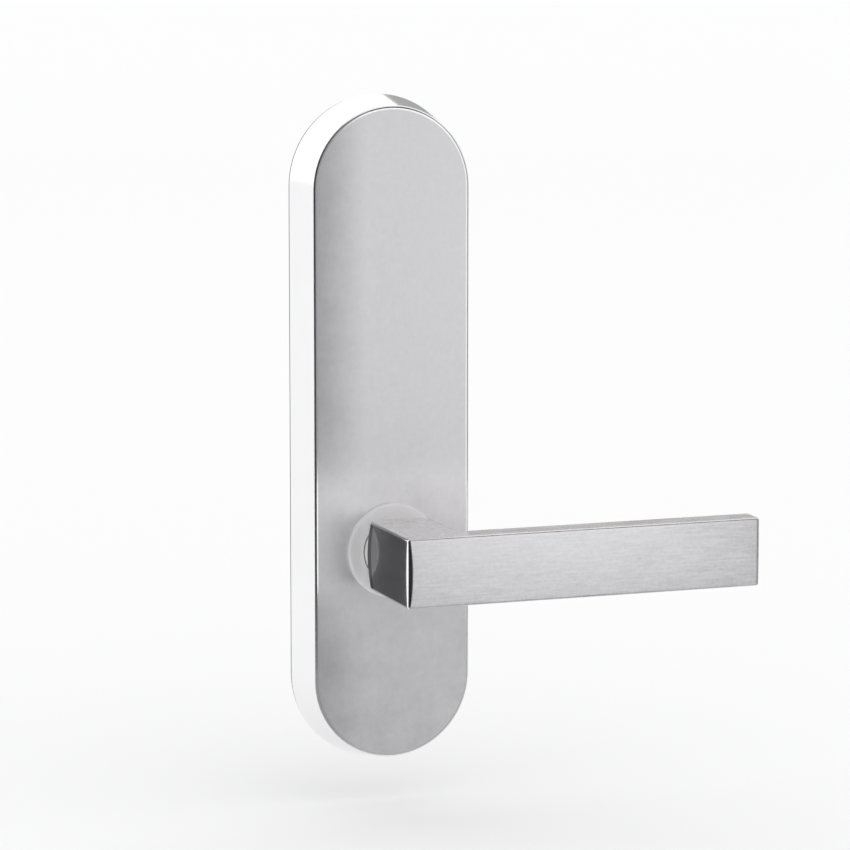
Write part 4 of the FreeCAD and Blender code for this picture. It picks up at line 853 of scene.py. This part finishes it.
# %% One material for each kind of hidden piece
# After its colour each finish gives its roughness, the broad and the fine noise per metre, the
# strength of the mottle, the strength of the relief and the relief's height.
finishes = {
    "cover_steel": face_steel,
    "lever_steel": satin_steel,
    "collar_steel": collar_steel,
    "zinc_steel": mottled("zinc_plated", (0.60, 0.62, 0.66), 0.34, 110, 1800, 0.16, 0.12,
                          0.02 * MM, metallic=1.0),
    "screw_steel": mottled("screw_steel", (0.50, 0.50, 0.52), 0.30, 300, 3000, 0.12, 0.15,
                           0.02 * MM, metallic=1.0),
    "spring_steel": mottled("oiled_spring_steel", (0.24, 0.24, 0.26), 0.26, 260, 2600, 0.25,
                            0.12, 0.02 * MM, metallic=1.0),
    "gasket_foam": mottled("closed_cell_foam", (0.045, 0.045, 0.047), 0.85, 180, 2200, 0.25,
                           0.9, 0.12 * MM),
    "grommet_rubber": mottled("grommet_rubber", (0.03, 0.03, 0.032), 0.6, 200, 3000, 0.2, 0.25,
                              0.03 * MM),
    "nylon": mottled("black_nylon", (0.03, 0.03, 0.033), 0.42, 120, 2400, 0.05, 0.2,
                     0.02 * MM),
    "black_plastic": mottled("eroded_black_plastic", (0.028, 0.028, 0.031), 0.48, 160, 2600,
                             0.15, 0.55, 0.04 * MM),
    "socket_plastic": mottled("socket_plastic", (0.83, 0.80, 0.72), 0.38, 150, 2600, 0.04,
                              0.2, 0.02 * MM),
    "chip_plastic": mottled("chip_epoxy", (0.022, 0.022, 0.024), 0.55, 300, 5000, 0.15, 0.4,
                            0.02 * MM),
    "board_laminate": mottled("solder_mask", (0.015, 0.16, 0.06), 0.30, 220, 1500, 0.22, 0.25,
                              0.03 * MM),
    "contact_metal": mottled("nickel_contact", (0.70, 0.66, 0.56), 0.28, 240, 2600, 0.12,
                             0.12, 0.02 * MM, metallic=1.0),
    "cell_jacket": mottled("cell_jacket", (0.20, 0.22, 0.25), 0.33, 90, 1400, 0.10, 0.1,
                           0.02 * MM, metallic=0.4),
}
slot_of = {part["node"]: part["material_slot"] for part in frame["record"]["subparts"]}
for name, node in frame["nodes"].items():
    if not node.material_slots:
        node.data.materials.append(finishes[slot_of[name]])
    for place in node.material_slots:
        place.material = finishes[slot_of[name]]
print("finishes given to", len(frame["nodes"]), "CAD pieces")

# %% [markdown]
# ## Camera
#
# The lock is looked at from a little to its left and a little above, with a long lens, so that
# upright lines stay nearly parallel. The camera aims at a point near the middle of the cover's
# face, a little along the arm, and its place follows from two angles and a distance.

# %% Place the camera
AZIMUTH = math.radians(19.87)
ELEVATION = math.radians(8.47)
DISTANCE = 1.5
LENS = 179.4
ASIDE = 11.6 * MM
UPWARD = 3.5 * MM
face_middle = Vector((0, -FACE_DEPTH, (UPPER_CENTRE + LOWER_CENTRE) / 2))
sideways = Vector((math.cos(AZIMUTH), -math.sin(AZIMUTH), 0))
backward = Vector((-math.sin(AZIMUTH) * math.cos(ELEVATION),
                   -math.cos(AZIMUTH) * math.cos(ELEVATION), math.sin(ELEVATION)))
aim = face_middle + ASIDE * sideways + Vector((0, 0, UPWARD))

camera_data = bpy.data.cameras.new("camera")
camera_data.lens = LENS
camera_data.clip_end = 50.0
camera = bpy.data.objects.new("camera", camera_data)
bpy.context.scene.collection.objects.link(camera)
camera.location = aim + DISTANCE * backward
camera.rotation_mode = "QUATERNION"
camera.rotation_quaternion = (-backward).to_track_quat("-Z", "Y")
bpy.context.scene.camera = camera
print("the camera stands", round(camera.location.length, 2), "m from the lever's axis")

# %% [markdown]
# ## Floor, light and what the steel reflects
#
# Polished steel has hardly any colour of its own: it shows the room. A white room alone makes it
# flat, so cards are put up round the object. A card is a plain sheet that gives off an even
# grey, and only reflections see it. Floor and cards are all made in the same way, so that
# is a helper, and so are the glow of a card and a card that is bent round the lock.

# %% Helpers for the cards and the floor


def stage_sheet(name, points, faces=((0, 1, 2, 3),)):
    """A mesh object of the room, not of the lock: one face with four corners, or many faces."""
    mesh = bpy.data.meshes.new(name)
    mesh.from_pydata(points, [], faces)
    sheet_object = bpy.data.objects.new(name, mesh)
    bpy.context.scene.collection.objects.link(sheet_object)
    return sheet_object


def glow(name, shade):
    """A material that gives off an even light of that shade and reflects nothing."""
    material = bpy.data.materials.new(name)
    material.use_nodes = True
    shader = material.node_tree.nodes["Principled BSDF"]
    shader.inputs["Base Color"].default_value = (0, 0, 0, 1)
    shader.inputs["Specular IOR Level"].default_value = 0.0
    shader.inputs["Emission Color"].default_value = (*shade, 1)
    shader.inputs["Emission Strength"].default_value = 1.0
    return material


def upright_card(name, angle_from, angle_to, radius, low, high, steps=24):
    """A card bent round the upright Z axis: radius * (-sin a, -cos a), from low to high.

    An angle of 0 is straight in front of the door, and angles grow to the left.
    """
    a = np.radians(np.linspace(angle_from, angle_to, steps + 1))
    ring = np.stack([-radius * np.sin(a), -radius * np.cos(a)], axis=-1)
    points = np.concatenate([np.column_stack([ring, np.full(len(ring), z)]) for z in (low, high)])
    return stage_sheet(name, points.tolist(), grid_faces(2, len(ring), False, False).tolist())


print("a card of three parts has", len(grid_faces(2, 4, False, False)), "faces")

# %% [markdown]
# ## Floor
#
# The lock hangs in the air above a pale floor, as if its door had been taken away. The floor only
# has to catch a faint shade, so it is one large rough sheet.

# %% Floor
FLOOR_DROP = 17 * MM
HALF_SIDE = 12.0
floor_z = cad_box[0][2] - FLOOR_DROP
floor = stage_sheet("floor", [(-HALF_SIDE, -HALF_SIDE, floor_z), (HALF_SIDE, -HALF_SIDE, floor_z),
                              (HALF_SIDE, HALF_SIDE, floor_z), (-HALF_SIDE, HALF_SIDE, floor_z)])
floor_material = bpy.data.materials.new("pale_floor")
floor_material.use_nodes = True
floor_shader = floor_material.node_tree.nodes["Principled BSDF"]
floor_shader.inputs["Base Color"].default_value = (0.93, 0.93, 0.935, 1)
floor_shader.inputs["Roughness"].default_value = 0.9
floor_shader.inputs["Specular IOR Level"].default_value = 0.1
floor.data.materials.append(floor_material)
print("the floor lies", round(-floor_z / MM), "mm below the lever's axis")

# %% [markdown]
# ## Surrounding light
#
# A white tent round the object gives soft light from everywhere. Here the tent is the world
# itself: a little brighter at eye level than overhead, so that flat faces aren't all one tone.

# %% Surrounding light
SIDE_SLOPE, TOP_SLOPE = 0.15, 0.9
SIDE_LIGHT, TOP_LIGHT = 1.22, 0.98
world = bpy.data.worlds.new("studio")
bpy.context.scene.world = world
world.use_nodes = True
sky = world.node_tree
sky_place = add_node(sky, "ShaderNodeTexCoord", (-900, 0))
sky_split = add_node(sky, "ShaderNodeSeparateXYZ", (-700, 0))
sky_ramp = add_node(sky, "ShaderNodeMapRange", (-500, 0))
sky_ramp.inputs["From Min"].default_value = SIDE_SLOPE
sky_ramp.inputs["From Max"].default_value = TOP_SLOPE
sky_ramp.inputs["To Min"].default_value = SIDE_LIGHT
sky_ramp.inputs["To Max"].default_value = TOP_LIGHT
sky.links.new(sky_place.outputs["Generated"], sky_split.inputs["Vector"])
sky.links.new(sky_split.outputs["Z"], sky_ramp.inputs["Value"])
sky.links.new(sky_ramp.outputs["Result"], sky.nodes["Background"].inputs["Strength"])
sky.nodes["Background"].inputs["Color"].default_value = (1.0, 1.0, 1.0, 1)
print("the tent's light falls from", SIDE_LIGHT, "at the sides to", TOP_LIGHT, "overhead")

# %% [markdown]
# ## The cards
#
# Black cards at the front left, overhead and on the floor draw the dark lines along the rounded
# edges, and a small one beside the neck darkens its polished side. Grey ones stand in front, at
# the right and far behind and lie on the floor, and two grey strips close to the lock shade the
# cover's left side above and below the arm. A small white card keeps the face beside the neck
# from mirroring the dark neck. They could be lamps and flags, but a glowing sheet shows in a
# reflection with the very tone it is given.

# %% Cards that only reflections see
ABOVE_FLOOR = 1 * MM


def overhead_card(name, angle_from, angle_to, low_angle, high_angle, radius, steps=24):
    """A patch of a sphere about the frame's origin, between two turns and two elevations.

    A point at turn a and elevation e is radius * (-sin a cos e, -cos a cos e, sin e).
    """
    a = np.radians(np.linspace(angle_from, angle_to, steps + 1))[None, :]
    e = np.radians(np.linspace(low_angle, high_angle, steps + 1))[:, None]
    points = radius * np.stack([-np.sin(a) * np.cos(e), -np.cos(a) * np.cos(e),
                                np.sin(e) + 0 * a], axis=-1)
    faces = grid_faces(steps + 1, steps + 1, False, False).tolist()
    return stage_sheet(name, points.reshape(-1, 3).tolist(), faces)


def floor_card(name, left_end, right_end, near, far):
    """A flat rectangle just above the floor, in front of the door."""
    z = floor_z + ABOVE_FLOOR
    return stage_sheet(name, [(left_end, -far, z), (right_end, -far, z), (right_end, -near, z),
                              (left_end, -near, z)])


def near_card(name, left_end, right_end, depth, low, high):
    """A flat upright rectangle close in front of the cover."""
    return stage_sheet(name, [(left_end, -depth, low), (right_end, -depth, low),
                              (right_end, -depth, high), (left_end, -depth, high)])


print("cards on the floor lie", ABOVE_FLOOR / MM, "mm above it")

# %% Put up the cards
CARD_RADIUS = 0.35
NEAR_DEPTH = 0.072
SIDE_DEPTH = 0.066
ARM_LEVEL = 0.02
deep_grey_cards = [
    upright_card("deep_grey_card", -8, 12, radius=CARD_RADIUS, low=floor_z, high=0.36)]
black_cards = [
    upright_card("dark_card_low", 12, 80, radius=CARD_RADIUS, low=floor_z, high=ARM_LEVEL),
    upright_card("dark_card_high", 12, 80, radius=CARD_RADIUS, low=ARM_LEVEL, high=0.42),
    near_card("dark_side_card", -0.042, -0.028, depth=SIDE_DEPTH, low=-0.05, high=ARM_LEVEL),
    floor_card("dark_floor_card", -0.40, -0.02, near=0.03, far=0.40),
    overhead_card("dark_canopy", -70, 80, low_angle=30, high_angle=66, radius=0.7)]
right_cards = [
    upright_card("grey_card_right", -85, -38, radius=CARD_RADIUS, low=floor_z, high=0.30)]
floor_cards = [floor_card("grey_floor_card", -0.6, 0.6, near=0.03, far=0.42)]
white_cards = [
    near_card("white_side_card", -0.0265, -0.0113, depth=SIDE_DEPTH, low=-0.022, high=0.018)]
near_cards = [
    near_card("near_card_high", -0.04, 0.0, depth=NEAR_DEPTH, low=0.022, high=0.20),
    near_card("near_card_low", -0.04, 0.0, depth=NEAR_DEPTH, low=-0.09, high=-0.022)]
rear_cards = [upright_card("grey_card_behind", -190, -130, radius=3.0, low=0.05, high=1.2)]
cards_by_shade = (
    (black_cards, glow("black_card", (0.025, 0.025, 0.027))),
    (deep_grey_cards, glow("deep_grey_card", (0.08, 0.08, 0.082))),
    (right_cards, glow("grey_card", (0.28, 0.28, 0.285))),
    (floor_cards, glow("light_grey_card", (0.45, 0.45, 0.45))),
    (white_cards, glow("white_card", (1.2, 1.2, 1.2))),
    (near_cards, glow("near_grey_card", (0.30, 0.30, 0.305))),
    (rear_cards, glow("mid_grey_card", (0.40, 0.40, 0.40))))
for cards, shade in cards_by_shade:
    for card in cards:
        card.data.materials.append(shade)
        card.visible_camera = False
        card.visible_diffuse = False
        card.visible_shadow = False
        card.visible_transmission = False
    print(shade.name, "on", [card.name for card in cards])

bpy.context.scene.view_settings.view_transform = "Standard"
